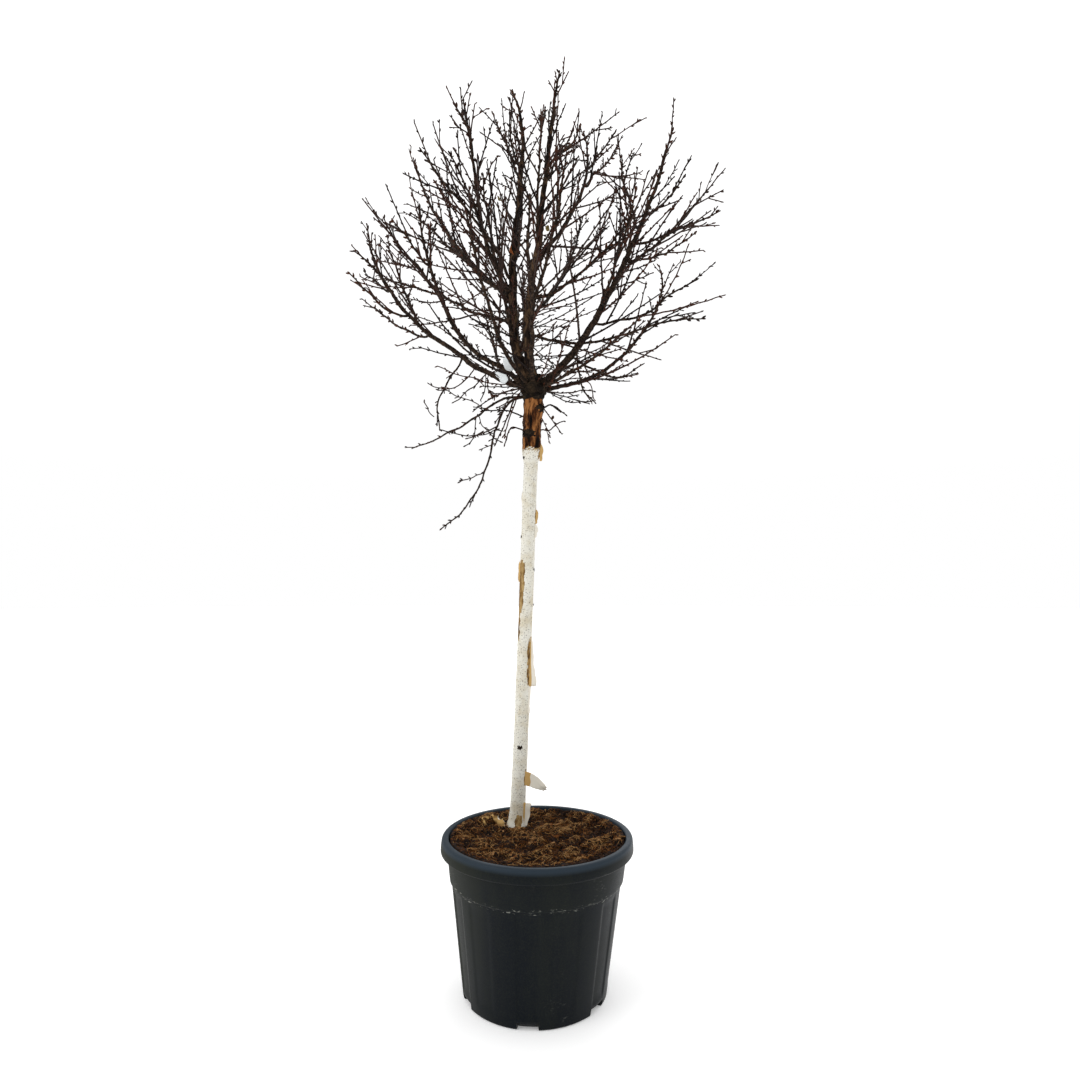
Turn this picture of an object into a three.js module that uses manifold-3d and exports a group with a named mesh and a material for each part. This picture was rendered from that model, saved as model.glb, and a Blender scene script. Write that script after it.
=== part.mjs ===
// A potted standard birch in winter: a white stem in a black nursery pot, with a globe of bare boughs
// grafted on a brown, knobbly head. Millimetres, +Z up, origin on the pot's underside, below the
// middle of its rim.
// The front of the pot is -Y, and a bearing of 0 degrees is +X, 90 is +Y (the back), 180 is -X.
import * as THREE from "three";
import { mergeVertices } from "three/addons/utils/BufferGeometryUtils.js";
import Module from "manifold-3d";

const wasm = await Module();
wasm.setup();

const GAP = 0.35; // clearance between neighbouring solids

// Pot
const POT_HEIGHT = 320;
const POT_FOOT_RADIUS = 152;
const POT_TAPER = 0.128; // growth of the radius for each millimetre of height
const POT_SKEW = 5; // the thin wall stands askew: its foot is this far to the left of its rim
const POT_WALL = 3;
const POT_FLOOR = 17;
const POT_COLUMNS = 48; // facets round the wall
const CORNER_RADIUS = 6;
const BAND_FOOT = 233; // the smooth band under the rim starts here
const BAND_STEP = 3.4;
const RIM_FOOT = 291;
const RIM_OUTER_RADIUS = 206.5;
const NOTCHES = 6;
const NOTCH_ANGLE = -5; // first drainage notch, degrees from the front towards +X
const NOTCH_WIDTH = 43;
const NOTCH_HEIGHT = 14;
const NOTCH_DEPTH = 32;
const FLUTE_HALF_ANGLE = 8; // one flute rises above each notch
const FLUTE_DEPTH = 2.5;
const FLUTE_FOOT = 24;
const FLUTE_HEAD = 224;

// Soil
const SOIL_LEVEL = 302; // at the foot of the stem, which stands in a dip
const SOIL_MOUND = 6; // the compost is this much higher in the middle of the pot
const SOIL_HEAP = 10.5; // and this much higher where it is heaped against the rim
const SOIL_TILT = 1.5; // it is a little higher at the front left than at the back right
const DIP_RADIUS = 45;
const SOIL_COLUMNS = 24;

// Stem
const STEM_FOOT = new THREE.Vector3(-47, 110, SOIL_LEVEL);
const STEM_LENGTH = 1045;
const STEM_WAY = [[-62, 84.5], [-56, 86.5], [-55, 86.5]];
const STEM_SIDES = 14;
const STEM_RADIUS = 16.4;
const FLARE_RADIUS = 25; // root flare at the soil
const FLARE_HEIGHT = 70;
const GRAFT_RADIUS = 21.5;
const GRAFT_FOOT = 858; // heights above the soil
const HEAD_RADIUS = 31;
const HEAD_FOOT = 990;
const CROTCH = 0.965; // where the boughs meet, as a part of the stem's length

// Limbs
const TIP_RADIUS = 1.6;
const TAPER_POWER = 0.7; // under 1, so a limb keeps its girth and thins towards its tip
const LIMB_STEP = 62; // spacing of a limb's rings
const FEWEST_STEPS = 3;
const STOUT_GIRTH = 13; // stouter limbs have more sides
const STOUT_SIDES = 8;
const SLIM_SIDES = 6;
const COLLAR = 1.18; // swelling of a limb's first ring

const BARK = { colour: 0x34251c, roughness: 0.85 };
const LEADER_BARK = { colour: 0x4a3222, roughness: 0.85 };
const BIRCH_BARK = { colour: 0xcdc7bd, roughness: 0.75 };
const POT_PLASTIC = { colour: 0x1b2024, roughness: 0.5 };
const COMPOST = { colour: 0x3a2415, roughness: 1 };

// Each limb leaves the limb it is on at a part of that limb's length. Its way is the bearing and
// elevation of its headings, evenly spaced from base to tip. Girth is the diameter at its base.
const LIMBS = [
  // The two leaders and the boughs that rise from the head
  { name: "leader_left", on: "stem", at: CROTCH, way: [[170, 61], [109, 87], [33, 85], [25, 84], [173, 69]], length: 782, girth: 25 },
  { name: "leader_right", on: "stem", at: CROTCH, way: [[-130, 74], [-7, 81], [-30, 84], [-12, 80]], length: 753, girth: 21 },
  { name: "bough_right", on: "stem", at: CROTCH, way: [[-10, 32], [-11, 58], [-14, 62], [-19, 69], [-25, 74]], length: 682, girth: 21 },
  { name: "bough_left_low", on: "stem", at: CROTCH, way: [[170, 18], [173, 33], [172, 41], [169, 61], [140, 82]], length: 636, girth: 16 },
  { name: "bough_left_high", on: "stem", at: CROTCH, way: [[-177, 40], [-163, 23], [-149, 61], [-134, 67], [-93, 74]], length: 500, girth: 14 },
  { name: "bough_back_right", on: "stem", at: CROTCH, way: [[23, 9], [19, 26], [23, 47], [34, 61], [120, 70]], length: 576, girth: 12 },
  { name: "bough_front_right", on: "stem", at: CROTCH, way: [[-45, 3], [-25, 22], [-35, 27], [-36, 33]], length: 298, girth: 9 },
  { name: "bough_back", on: "stem", at: CROTCH, way: [[95, 12], [100, 38], [98, 50], [85, 65]], length: 560, girth: 15 },
  { name: "bough_back_left", on: "stem", at: 0.97, way: [[122, 12], [110, 36], [106, 48], [118, 66]], length: 520, girth: 13 },
  { name: "bough_front", on: "stem", at: 0.97, way: [[-95, 15], [-86, 35], [-96, 48], [-84, 62]], length: 440, girth: 13 },
  { name: "bough_front_left", on: "stem", at: 0.97, way: [[-128, 15], [-112, 34], [-108, 50], [-118, 64]], length: 430, girth: 12 },
  { name: "shoot_low_left", on: "stem", at: 0.955, way: [[163, 12], [162, -33], [164, -22], [165, -17]], length: 335, girth: 7 },
  { name: "shoot_drooping", on: "stem", at: 0.955, way: [[-163, -3], [180, -68], [-157, -80], [-175, -57], [-176, -34]], length: 404, girth: 6 },
  // On the left leader
  { name: "left_fan_back_low", on: "leader_left", at: 0.23, way: [[156, 11], [153, 33], [156, 25], [157, 22]], length: 418, girth: 9 },
  { name: "left_fan_back", on: "leader_left", at: 0.28, way: [[137, 52], [145, 39], [143, 48], [149, 39]], length: 490, girth: 12 },
  { name: "left_fan_middle", on: "leader_left", at: 0.3, way: [[161, 35], [154, 53], [151, 60], [135, 71]], length: 535, girth: 13 },
  { name: "left_fan_front", on: "leader_left", at: 0.31, way: [[-154, 46], [-129, 67], [-102, 71], [-122, 67]], length: 422, girth: 14 },
  { name: "left_fan_fore", on: "leader_left", at: 0.35, way: [[-127, 49], [-132, 35], [-133, 28], [-126, 29]], length: 348, girth: 9 },
  { name: "left_top_back", on: "leader_left", at: 0.7, way: [[132, 63], [134, 62], [130, 66]], length: 250, girth: 8 },
  { name: "left_top_front", on: "leader_left", at: 0.72, way: [[-135, 32], [-105, 49], [-77, 51]], length: 127, girth: 6 },
  { name: "left_rear_low", on: "leader_left", at: 0.12, way: [[80, 35], [95, 50], [85, 65]], length: 430, girth: 12 },
  { name: "left_rear_high", on: "leader_left", at: 0.42, way: [[75, 45], [98, 58], [90, 70]], length: 360, girth: 10 },
  { name: "left_fore_low", on: "leader_left", at: 0.16, way: [[-105, 40], [-112, 55], [-100, 68]], length: 360, girth: 10 },
  { name: "fan_fork_tip", on: "left_fan_front", at: 0.75, way: [[-83, 35], [-109, 30], [-130, 20]], length: 119, girth: 6 },
  { name: "fan_fork_side", on: "left_fan_front", at: 0.38, way: [[-108, 37], [-115, 35], [-121, 30]], length: 180, girth: 6 },
  // On the left boughs
  { name: "left_low_tip_back", on: "bough_left_low", at: 0.7, way: [[132, 33], [133, 39]], length: 166, girth: 6 },
  { name: "left_low_tip_front", on: "bough_left_low", at: 0.72, way: [[-142, 56], [-152, 24]], length: 109, girth: 6 },
  { name: "left_low_side", on: "bough_left_low", at: 0.57, way: [[-159, -7], [-153, 42], [-151, 36]], length: 172, girth: 7 },
  { name: "left_low_under", on: "bough_left_low", at: 0.45, way: [[160, 9], [153, 34], [151, 43]], length: 204, girth: 7 },
  { name: "left_low_riser", on: "bough_left_low", at: 0.53, way: [[124, 55], [129, 57], [120, 62]], length: 348, girth: 8 },
  { name: "left_low_hanger", on: "bough_left_low", at: 0.3, way: [[168, -50], [165, -61], [17, -67]], length: 190, girth: 5.5 },
  { name: "left_high_tip", on: "bough_left_high", at: 0.75, way: [[-131, 27], [-117, 22]], length: 126, girth: 6 },
  { name: "left_high_side", on: "bough_left_high", at: 0.65, way: [[-177, 52], [-177, 42], [-172, 74]], length: 201, girth: 8 },
  // On the right leader
  { name: "right_spray_long", on: "leader_right", at: 0.17, way: [[-7, -23], [-7, 3], [-8, 19], [-7, -6]], length: 408, girth: 8 },
  { name: "right_spray_high", on: "leader_right", at: 0.28, way: [[-21, -7], [-28, 29], [-31, 32], [-42, 46]], length: 296, girth: 9 },
  { name: "right_rear_fork", on: "leader_right", at: 0.4, way: [[32, 49], [34, 58], [60, 70], [126, 71]], length: 459, girth: 13 },
  { name: "right_rear_low", on: "leader_right", at: 0.22, way: [[50, 40], [58, 55], [70, 65]], length: 430, girth: 11 },
  { name: "right_fore_low", on: "leader_right", at: 0.2, way: [[-70, 40], [-62, 55], [-75, 66]], length: 360, girth: 10 },
  { name: "right_fore_high", on: "leader_right", at: 0.46, way: [[-95, 48], [-82, 60], [-90, 70]], length: 250, girth: 8 },
  { name: "right_top_back", on: "leader_right", at: 0.65, way: [[59, 63], [45, 54], [58, 63]], length: 216, girth: 7 },
  { name: "right_top_front", on: "leader_right", at: 0.7, way: [[-31, 48], [-20, 17], [-65, 69]], length: 116, girth: 6 },
  { name: "rear_fork_outer", on: "right_rear_fork", at: 0.6, way: [[51, 46], [45, 47], [55, 56]], length: 229, girth: 7 },
  { name: "rear_fork_inner", on: "right_rear_fork", at: 0.72, way: [[-23, 49], [-18, 45], [-21, 50]], length: 107, girth: 6 },
  // On the right bough
  { name: "right_hanger", on: "bough_right", at: 0.2, way: [[-81, -69], [-73, -67], [-30, -40]], length: 166, girth: 5.5 },
  { name: "right_low_shoot", on: "bough_right", at: 0.17, way: [[-21, -11], [-25, -54], [-19, 2], [-27, 43]], length: 200, girth: 6 },
  { name: "right_level_shoot", on: "bough_right", at: 0.3, way: [[-16, 1], [-16, 4], [-22, 37], [-19, 18]], length: 255, girth: 7 },
  { name: "right_outer_spray", on: "bough_right", at: 0.53, way: [[-18, 20], [-18, 32], [-24, 45], [-23, 41]], length: 239, girth: 8 },
  { name: "right_outer_side", on: "right_outer_spray", at: 0.12, way: [[7, -4], [9, 33], [10, 42]], length: 166, girth: 6 },
  { name: "right_outer_tip", on: "bough_right", at: 0.6, way: [[-1, 5], [0, 30], [0, 16], [0, 33]], length: 218, girth: 7 },
  { name: "right_inner_back", on: "bough_right", at: 0.65, way: [[111, 64], [113, 65], [77, 69]], length: 267, girth: 8 },
  { name: "right_inner_front", on: "bough_right", at: 0.55, way: [[-46, 64], [-120, 62], [-119, 62]], length: 143, girth: 6 },
  { name: "right_upper_side", on: "bough_right", at: 0.7, way: [[-11, 26], [-16, 45], [-19, 54]], length: 122, girth: 6 },
  { name: "right_fore_side", on: "bough_right", at: 0.36, way: [[-75, 35], [-62, 50], [-72, 62]], length: 260, girth: 8 },
  { name: "right_rear_side", on: "bough_right", at: 0.42, way: [[70, 35], [58, 48], [66, 60]], length: 300, girth: 8 },
];

// A unit vector from a bearing and an elevation in degrees.
function heading([bearing, elevation]) {
  const b = THREE.MathUtils.degToRad(bearing);
  const e = THREE.MathUtils.degToRad(elevation);
  return new THREE.Vector3(Math.cos(b) * Math.cos(e), Math.sin(b) * Math.cos(e), Math.sin(e));
}

// The centreline of a limb: a curve that starts along the first heading and turns evenly to the last.
function grow(start, way, length, steps) {
  const fine = 8; // short straight steps for each ring
  const headings = way.map(heading);
  const points = [start.clone()];
  const here = start.clone();
  for (let i = 0; i < steps * fine; i++) {
    const place = ((i + 0.5) / (steps * fine)) * (headings.length - 1);
    const leg = Math.min(Math.floor(place), headings.length - 2);
    const direction = headings[leg].clone().lerp(headings[leg + 1], place - leg).normalize();
    here.addScaledVector(direction, length / (steps * fine));
    if ((i + 1) % fine === 0) points.push(here.clone());
  }
  return new THREE.CatmullRomCurve3(points);
}

// A closed body of revolution bent along a curve. The profile is a list of [part of the length, radius]
// with its first and last points on the axis, and margin is how far it runs on past each end.
function bend(curve, profile, sides, margin = 0) {
  const outline = profile.map(([part, radius]) => new THREE.Vector2(radius, part));
  const geometry = new THREE.LatheGeometry(outline, sides);
  const places = geometry.attributes.position;
  const across = new THREE.Vector3();
  const point = new THREE.Vector3();
  const last = profile.length - 1;
  profile.forEach(([part], ring) => {
    const t = THREE.MathUtils.clamp(part, 0, 1);
    const centre = curve.getPoint(t);
    const along = curve.getTangent(t);
    if (ring <= 1) centre.addScaledVector(along, -margin);
    if (ring >= last - 1) centre.addScaledVector(along, margin);
    const turn = new THREE.Quaternion().setFromUnitVectors(THREE.Object3D.DEFAULT_UP, along);
    for (let column = 0; column <= sides; column++) {
      const index = column * profile.length + ring;
      across.set(places.getX(index), 0, places.getZ(index)).applyQuaternion(turn);
      point.copy(centre).add(across);
      places.setXYZ(index, point.x, point.y, point.z);
    }
  });
  return solidOf(geometry);
}

// A manifold-3d solid from a closed three.js geometry.
function solidOf(geometry) {
  geometry.deleteAttribute("normal");
  geometry.deleteAttribute("uv");
  const merged = mergeVertices(geometry, 1e-4);
  return new wasm.Manifold(new wasm.Mesh({
    numProp: 3,
    vertProperties: merged.attributes.position.array,
    triVerts: new Uint32Array(merged.index.array),
  }));
}

// A named three.js mesh from the largest piece of a manifold-3d solid.
function meshOf(name, solid, finish) {
  const pieces = solid.decompose().sort((a, b) => b.volume() - a.volume());
  const mesh = pieces[0].getMesh();
  const geometry = new THREE.BufferGeometry();
  geometry.setAttribute("position", new THREE.BufferAttribute(new Float32Array(mesh.vertProperties), 3));
  geometry.setIndex(new THREE.BufferAttribute(new Uint32Array(mesh.triVerts), 1));
  geometry.computeVertexNormals();
  const material = new THREE.MeshStandardMaterial({ color: finish.colour, roughness: finish.roughness, metalness: 0 });
  const made = new THREE.Mesh(geometry, material);
  made.name = name;
  return made;
}

// Leans a body of the pot, so that its foot is off the rim's axis and its rim is on it.
function skew(geometry) {
  const places = geometry.attributes.position;
  for (let i = 0; i < places.count; i++) {
    places.setX(i, places.getX(i) - POT_SKEW * (1 - places.getZ(i) / POT_HEIGHT));
  }
  return geometry;
}

// The pot's outer radius at a height, without its rim.
function potRadius(height) {
  return POT_FOOT_RADIUS + POT_TAPER * height + (height > BAND_FOOT ? BAND_STEP : 0);
}

// A lathed body with +Z as its axis, whose first column stands on the first notch.
function lathe(profile, columns) {
  const geometry = new THREE.LatheGeometry(profile.map(([r, z]) => new THREE.Vector2(r, z)), columns);
  geometry.rotateX(Math.PI / 2);
  geometry.rotateZ(THREE.MathUtils.degToRad(NOTCH_ANGLE));
  return geometry;
}

// How far round from the nearest notch a point of the wall is, in degrees.
function fromNotch(x, y) {
  const angle = THREE.MathUtils.radToDeg(Math.atan2(x, -y)) - NOTCH_ANGLE;
  const pitch = 360 / NOTCHES;
  return Math.abs(angle - pitch * Math.round(angle / pitch));
}

function makePot() {
  const wallHeights = [FLUTE_FOOT, FLUTE_FOOT + 8, 90, 158, FLUTE_HEAD - 8, FLUTE_HEAD, BAND_FOOT];
  const inside = (height) => potRadius(height) - POT_WALL;
  const geometry = lathe([
    [0, 0],
    [POT_FOOT_RADIUS - CORNER_RADIUS, 0],
    [POT_FOOT_RADIUS - CORNER_RADIUS * 0.3, CORNER_RADIUS * 0.3],
    [potRadius(CORNER_RADIUS), CORNER_RADIUS],
    ...wallHeights.map((height) => [potRadius(height), height]),
    [potRadius(BAND_FOOT + 2), BAND_FOOT + 2],
    [potRadius(RIM_FOOT), RIM_FOOT],
    [RIM_OUTER_RADIUS - 2, RIM_FOOT],
    [RIM_OUTER_RADIUS, RIM_FOOT + 4],
    [RIM_OUTER_RADIUS - 0.5, POT_HEIGHT - 10],
    [RIM_OUTER_RADIUS - 5, POT_HEIGHT],
    [inside(RIM_FOOT) + 3, POT_HEIGHT],
    [inside(RIM_FOOT), POT_HEIGHT - 4],
    [inside(RIM_FOOT), RIM_FOOT],
    [inside(BAND_FOOT + 2), BAND_FOOT + 2],
    ...wallHeights.map((height) => [inside(height), height]).reverse(),
    [inside(POT_FLOOR), POT_FLOOR],
    [0, POT_FLOOR],
  ], POT_COLUMNS);
  const places = geometry.attributes.position;
  for (let i = 0; i < places.count; i++) {
    const [x, y, z] = [places.getX(i), places.getY(i), places.getZ(i)];
    if (z <= FLUTE_FOOT || z >= FLUTE_HEAD || fromNotch(x, y) >= FLUTE_HALF_ANGLE) continue;
    const inset = 1 - FLUTE_DEPTH / Math.hypot(x, y);
    places.setXY(i, x * inset, y * inset);
  }
  let pot = solidOf(skew(geometry));
  for (let i = 0; i < NOTCHES; i++) {
    const notch = new THREE.BoxGeometry(NOTCH_WIDTH, NOTCH_DEPTH, NOTCH_HEIGHT * 2);
    notch.translate(0, -POT_FOOT_RADIUS, 0);
    notch.rotateZ(THREE.MathUtils.degToRad(NOTCH_ANGLE + (i * 360) / NOTCHES));
    notch.translate(-POT_SKEW, 0, 0);
    pot = pot.subtract(solidOf(notch));
  }
  return pot;
}

// The compost fills the pot almost up to the rim, with a dip round the foot of the stem.
function makeSoil(stem) {
  const inside = (height) => potRadius(height) - POT_WALL - GAP;
  const below = FLUTE_DEPTH;
  const geometry = lathe([
    [0, POT_FLOOR + GAP],
    [inside(POT_FLOOR) - below, POT_FLOOR + GAP],
    [inside(FLUTE_HEAD) - below, FLUTE_HEAD],
    [inside(BAND_FOOT), BAND_FOOT + 3],
    [inside(RIM_FOOT) - 1, RIM_FOOT - 4],
    [inside(RIM_FOOT) - 1, SOIL_LEVEL + SOIL_HEAP - 1],
    [inside(RIM_FOOT) - 14, SOIL_LEVEL + SOIL_HEAP],
    [150, SOIL_LEVEL + (SOIL_HEAP + SOIL_MOUND) / 2],
    [120, SOIL_LEVEL + SOIL_MOUND],
    [90, SOIL_LEVEL + SOIL_MOUND - 1],
    [50, SOIL_LEVEL + SOIL_MOUND + 1],
    [0, SOIL_LEVEL + SOIL_MOUND],
  ], SOIL_COLUMNS);
  const places = geometry.attributes.position;
  for (let i = 0; i < places.count; i++) {
    const [x, y, z] = [places.getX(i), places.getY(i), places.getZ(i)];
    if (z < SOIL_LEVEL) continue;
    const tilt = (-SOIL_TILT * (x + y)) / (POT_FOOT_RADIUS * Math.SQRT2);
    const off = Math.hypot(x - STEM_FOOT.x, y - STEM_FOOT.y) / DIP_RADIUS;
    const dip = Math.exp(-off * off);
    places.setZ(i, (z + tilt) * (1 - dip) + SOIL_LEVEL * dip);
  }
  return solidOf(skew(geometry)).subtract(stem);
}

// Radii of the stem against the height above the soil: root flare, bole, graft and head.
const STEM_PROFILE = [
  [0, FLARE_RADIUS],
  [FLARE_HEIGHT * 0.2, (FLARE_RADIUS + STEM_RADIUS) / 2],
  [FLARE_HEIGHT * 0.5, STEM_RADIUS + 1.6],
  [FLARE_HEIGHT, STEM_RADIUS + 0.8],
  [200, STEM_RADIUS + 0.4],
  [360, STEM_RADIUS],
  [520, STEM_RADIUS],
  [680, STEM_RADIUS - 0.4],
  [800, STEM_RADIUS - 0.6],
  [GRAFT_FOOT - 20, STEM_RADIUS],
  [GRAFT_FOOT + 6, GRAFT_RADIUS],
  [925, GRAFT_RADIUS - 1],
  [HEAD_FOOT - 8, GRAFT_RADIUS + 1],
  [HEAD_FOOT + 8, HEAD_RADIUS - 2],
  [HEAD_FOOT + 30, HEAD_RADIUS],
  [STEM_LENGTH - 12, HEAD_RADIUS - 4],
  [STEM_LENGTH, HEAD_RADIUS - 14],
];

function makeStem(curve, grown = 0) {
  const profile = STEM_PROFILE.map(([height, radius]) => [height / STEM_LENGTH, radius + grown]);
  return bend(curve, [[0, 0], ...profile, [1, 0]], STEM_SIDES, grown);
}

// A limb's solid, or the same limb a little larger, for cutting its neighbours.
function makeLimb({ curve, steps, girth, sides }, grown = 0) {
  const profile = [];
  for (let i = 0; i < steps; i++) {
    const part = i / steps;
    const taper = Math.pow(1 - part, TAPER_POWER);
    const radius = TIP_RADIUS + (girth / 2 - TIP_RADIUS) * taper;
    profile.push([part, (i === 0 ? radius * COLLAR : radius) + grown]);
  }
  const end = [1, TIP_RADIUS + grown];
  return bend(curve, [[0, 0], ...profile, end, [1, 0]], sides, grown);
}

const birch = new THREE.Group();

const stemCurve = grow(STEM_FOOT, STEM_WAY, STEM_LENGTH, 16);
const grownStem = makeStem(stemCurve, GAP);
const plants = new Map([["stem", { curve: stemCurve, grown: grownStem, offshoots: [] }]]);

for (const limb of LIMBS) {
  const parent = plants.get(limb.on);
  const steps = Math.max(FEWEST_STEPS, Math.round(limb.length / LIMB_STEP));
  const sides = limb.girth > STOUT_GIRTH ? STOUT_SIDES : SLIM_SIDES;
  const curve = grow(parent.curve.getPoint(limb.at), limb.way, limb.length, steps);
  const form = { curve, steps, sides, girth: limb.girth };
  let solid = makeLimb(form).subtract(parent.grown);
  for (const neighbour of parent.offshoots) solid = solid.subtract(neighbour.grown);
  const own = { curve, grown: makeLimb(form, GAP), offshoots: [] };
  parent.offshoots.push(own);
  plants.set(limb.name, own);
  birch.add(meshOf(limb.name, solid, limb.name.startsWith("leader") ? LEADER_BARK : BARK));
}

birch.add(meshOf("stem", makeStem(stemCurve), BIRCH_BARK));
birch.add(meshOf("pot", makePot(), POT_PLASTIC));
birch.add(meshOf("soil", makeSoil(grownStem), COMPOST));

export default birch;
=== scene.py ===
"""Looks of a potted standard birch in winter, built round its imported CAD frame.

The stem, head and boughs follow the centrelines of the CAD limbs. Twigs and buds grow on from them by
a seeded branching rule. The pot and its compost take the place of their plain CAD solids. Lengths are
in metres, and names that end in _mm are in millimetres.
"""

import logging
import math
from dataclasses import dataclass, field
from enum import Enum

import bpy
import numpy as np
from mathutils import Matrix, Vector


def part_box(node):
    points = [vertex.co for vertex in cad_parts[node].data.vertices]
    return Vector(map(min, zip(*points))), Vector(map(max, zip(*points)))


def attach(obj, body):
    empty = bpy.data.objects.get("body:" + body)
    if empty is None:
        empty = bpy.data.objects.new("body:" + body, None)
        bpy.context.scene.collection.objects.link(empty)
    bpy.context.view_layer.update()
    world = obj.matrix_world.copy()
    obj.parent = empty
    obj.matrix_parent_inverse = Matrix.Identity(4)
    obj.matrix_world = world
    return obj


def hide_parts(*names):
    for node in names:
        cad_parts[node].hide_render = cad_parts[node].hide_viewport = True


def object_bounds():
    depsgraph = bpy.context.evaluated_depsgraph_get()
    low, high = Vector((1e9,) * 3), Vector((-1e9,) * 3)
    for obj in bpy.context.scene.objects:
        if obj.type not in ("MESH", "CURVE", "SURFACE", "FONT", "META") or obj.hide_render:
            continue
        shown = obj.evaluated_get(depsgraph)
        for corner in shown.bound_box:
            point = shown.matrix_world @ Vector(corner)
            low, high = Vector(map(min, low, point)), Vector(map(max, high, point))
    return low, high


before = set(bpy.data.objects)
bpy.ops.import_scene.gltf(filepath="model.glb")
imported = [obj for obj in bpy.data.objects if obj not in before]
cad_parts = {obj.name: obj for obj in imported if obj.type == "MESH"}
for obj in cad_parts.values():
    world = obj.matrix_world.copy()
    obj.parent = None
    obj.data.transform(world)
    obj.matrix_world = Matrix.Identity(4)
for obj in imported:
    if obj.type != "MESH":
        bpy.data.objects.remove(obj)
CAD_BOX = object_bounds()

Array = np.ndarray
LOG = logging.getLogger("birch")
MM = 0.001
ROOT = "root"
UP = np.array([0.0, 0.0, 1.0])
TURN = 2.0 * math.pi
GOLDEN_ANGLE = math.radians(137.5)


# ---------------------------------------------------------------- vectors and noise


def unit(vectors: Array) -> Array:
    """Vectors scaled to length one, along the last axis."""
    return vectors / np.maximum(np.linalg.norm(vectors, axis=-1, keepdims=True), 1e-12)


def heading(bearing: float, elevation: float) -> Array:
    """A direction from a bearing (0 is +X, 90 is +Y) and an elevation, in degrees."""
    b, e = math.radians(bearing), math.radians(elevation)
    return np.array([math.cos(b) * math.cos(e), math.sin(b) * math.cos(e), math.sin(e)])


def square_to(direction: Array, angle: float) -> Array:
    """A unit vector square to a direction, turned round it by an angle in radians."""
    side = np.cross(direction, UP)
    if np.linalg.norm(side) < 0.05:
        side = np.cross(direction, np.array([1.0, 0.0, 0.0]))
    side = unit(side)
    other = np.cross(direction, side)
    return side * math.cos(angle) + other * math.sin(angle)


def lengths_along(points: Array) -> Array:
    """Distance along a polyline to each of its points."""
    steps = np.linalg.norm(np.diff(points, axis=0), axis=1)
    return np.concatenate([[0.0], np.cumsum(steps)])


def resample(points: Array, radii: Array, step: float) -> tuple[Array, Array, Array]:
    """Puts evenly spaced points on the smooth curve through some points.

    Args:
        points: Points of the curve, n by 3.
        radii: A radius for each point.
        step: Wanted distance between the new points.

    Returns:
        The new points, their radii and their distances along the curve.
    """
    along = lengths_along(points)
    keep = np.concatenate([[True], np.diff(along) > 1e-5])
    points, radii, along = points[keep], radii[keep], along[keep]
    slopes = np.gradient(points, along, axis=0)
    count = max(3, int(round(along[-1] / step)) + 1)
    places = np.linspace(0.0, along[-1], count)
    left = np.clip(np.searchsorted(along, places, side="right") - 1, 0, len(along) - 2)
    gap = along[left + 1] - along[left]
    t = ((places - along[left]) / gap)[:, None]
    gap = gap[:, None]
    curve = (
        (2 * t**3 - 3 * t**2 + 1) * points[left]
        + (t**3 - 2 * t**2 + t) * gap * slopes[left]
        + (3 * t**2 - 2 * t**3) * points[left + 1]
        + (t**3 - t**2) * gap * slopes[left + 1]
    )
    return curve, np.interp(places, along, radii), places


@dataclass(frozen=True)
class Grain:
    """Smooth seeded noise of about one wavelength, mostly between -1 and 1."""

    size: float
    seed: int
    stretch: tuple[float, float, float] = (1.0, 1.0, 1.0)
    waves: int = 16

    def at(self, points: Array) -> Array:
        """The noise at points, which may be any array of coordinates."""
        rng = np.random.default_rng(self.seed)
        directions = unit(rng.normal(size=(self.waves, 3)))
        sizes = self.size * rng.uniform(0.55, 1.8, self.waves)
        waves = directions * (TURN / sizes)[:, None] / np.array(self.stretch)
        phases = rng.uniform(0.0, TURN, self.waves)
        return np.sin(points @ waves.T + phases).sum(-1) / math.sqrt(self.waves)


# ---------------------------------------------------------------- meshes


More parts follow.
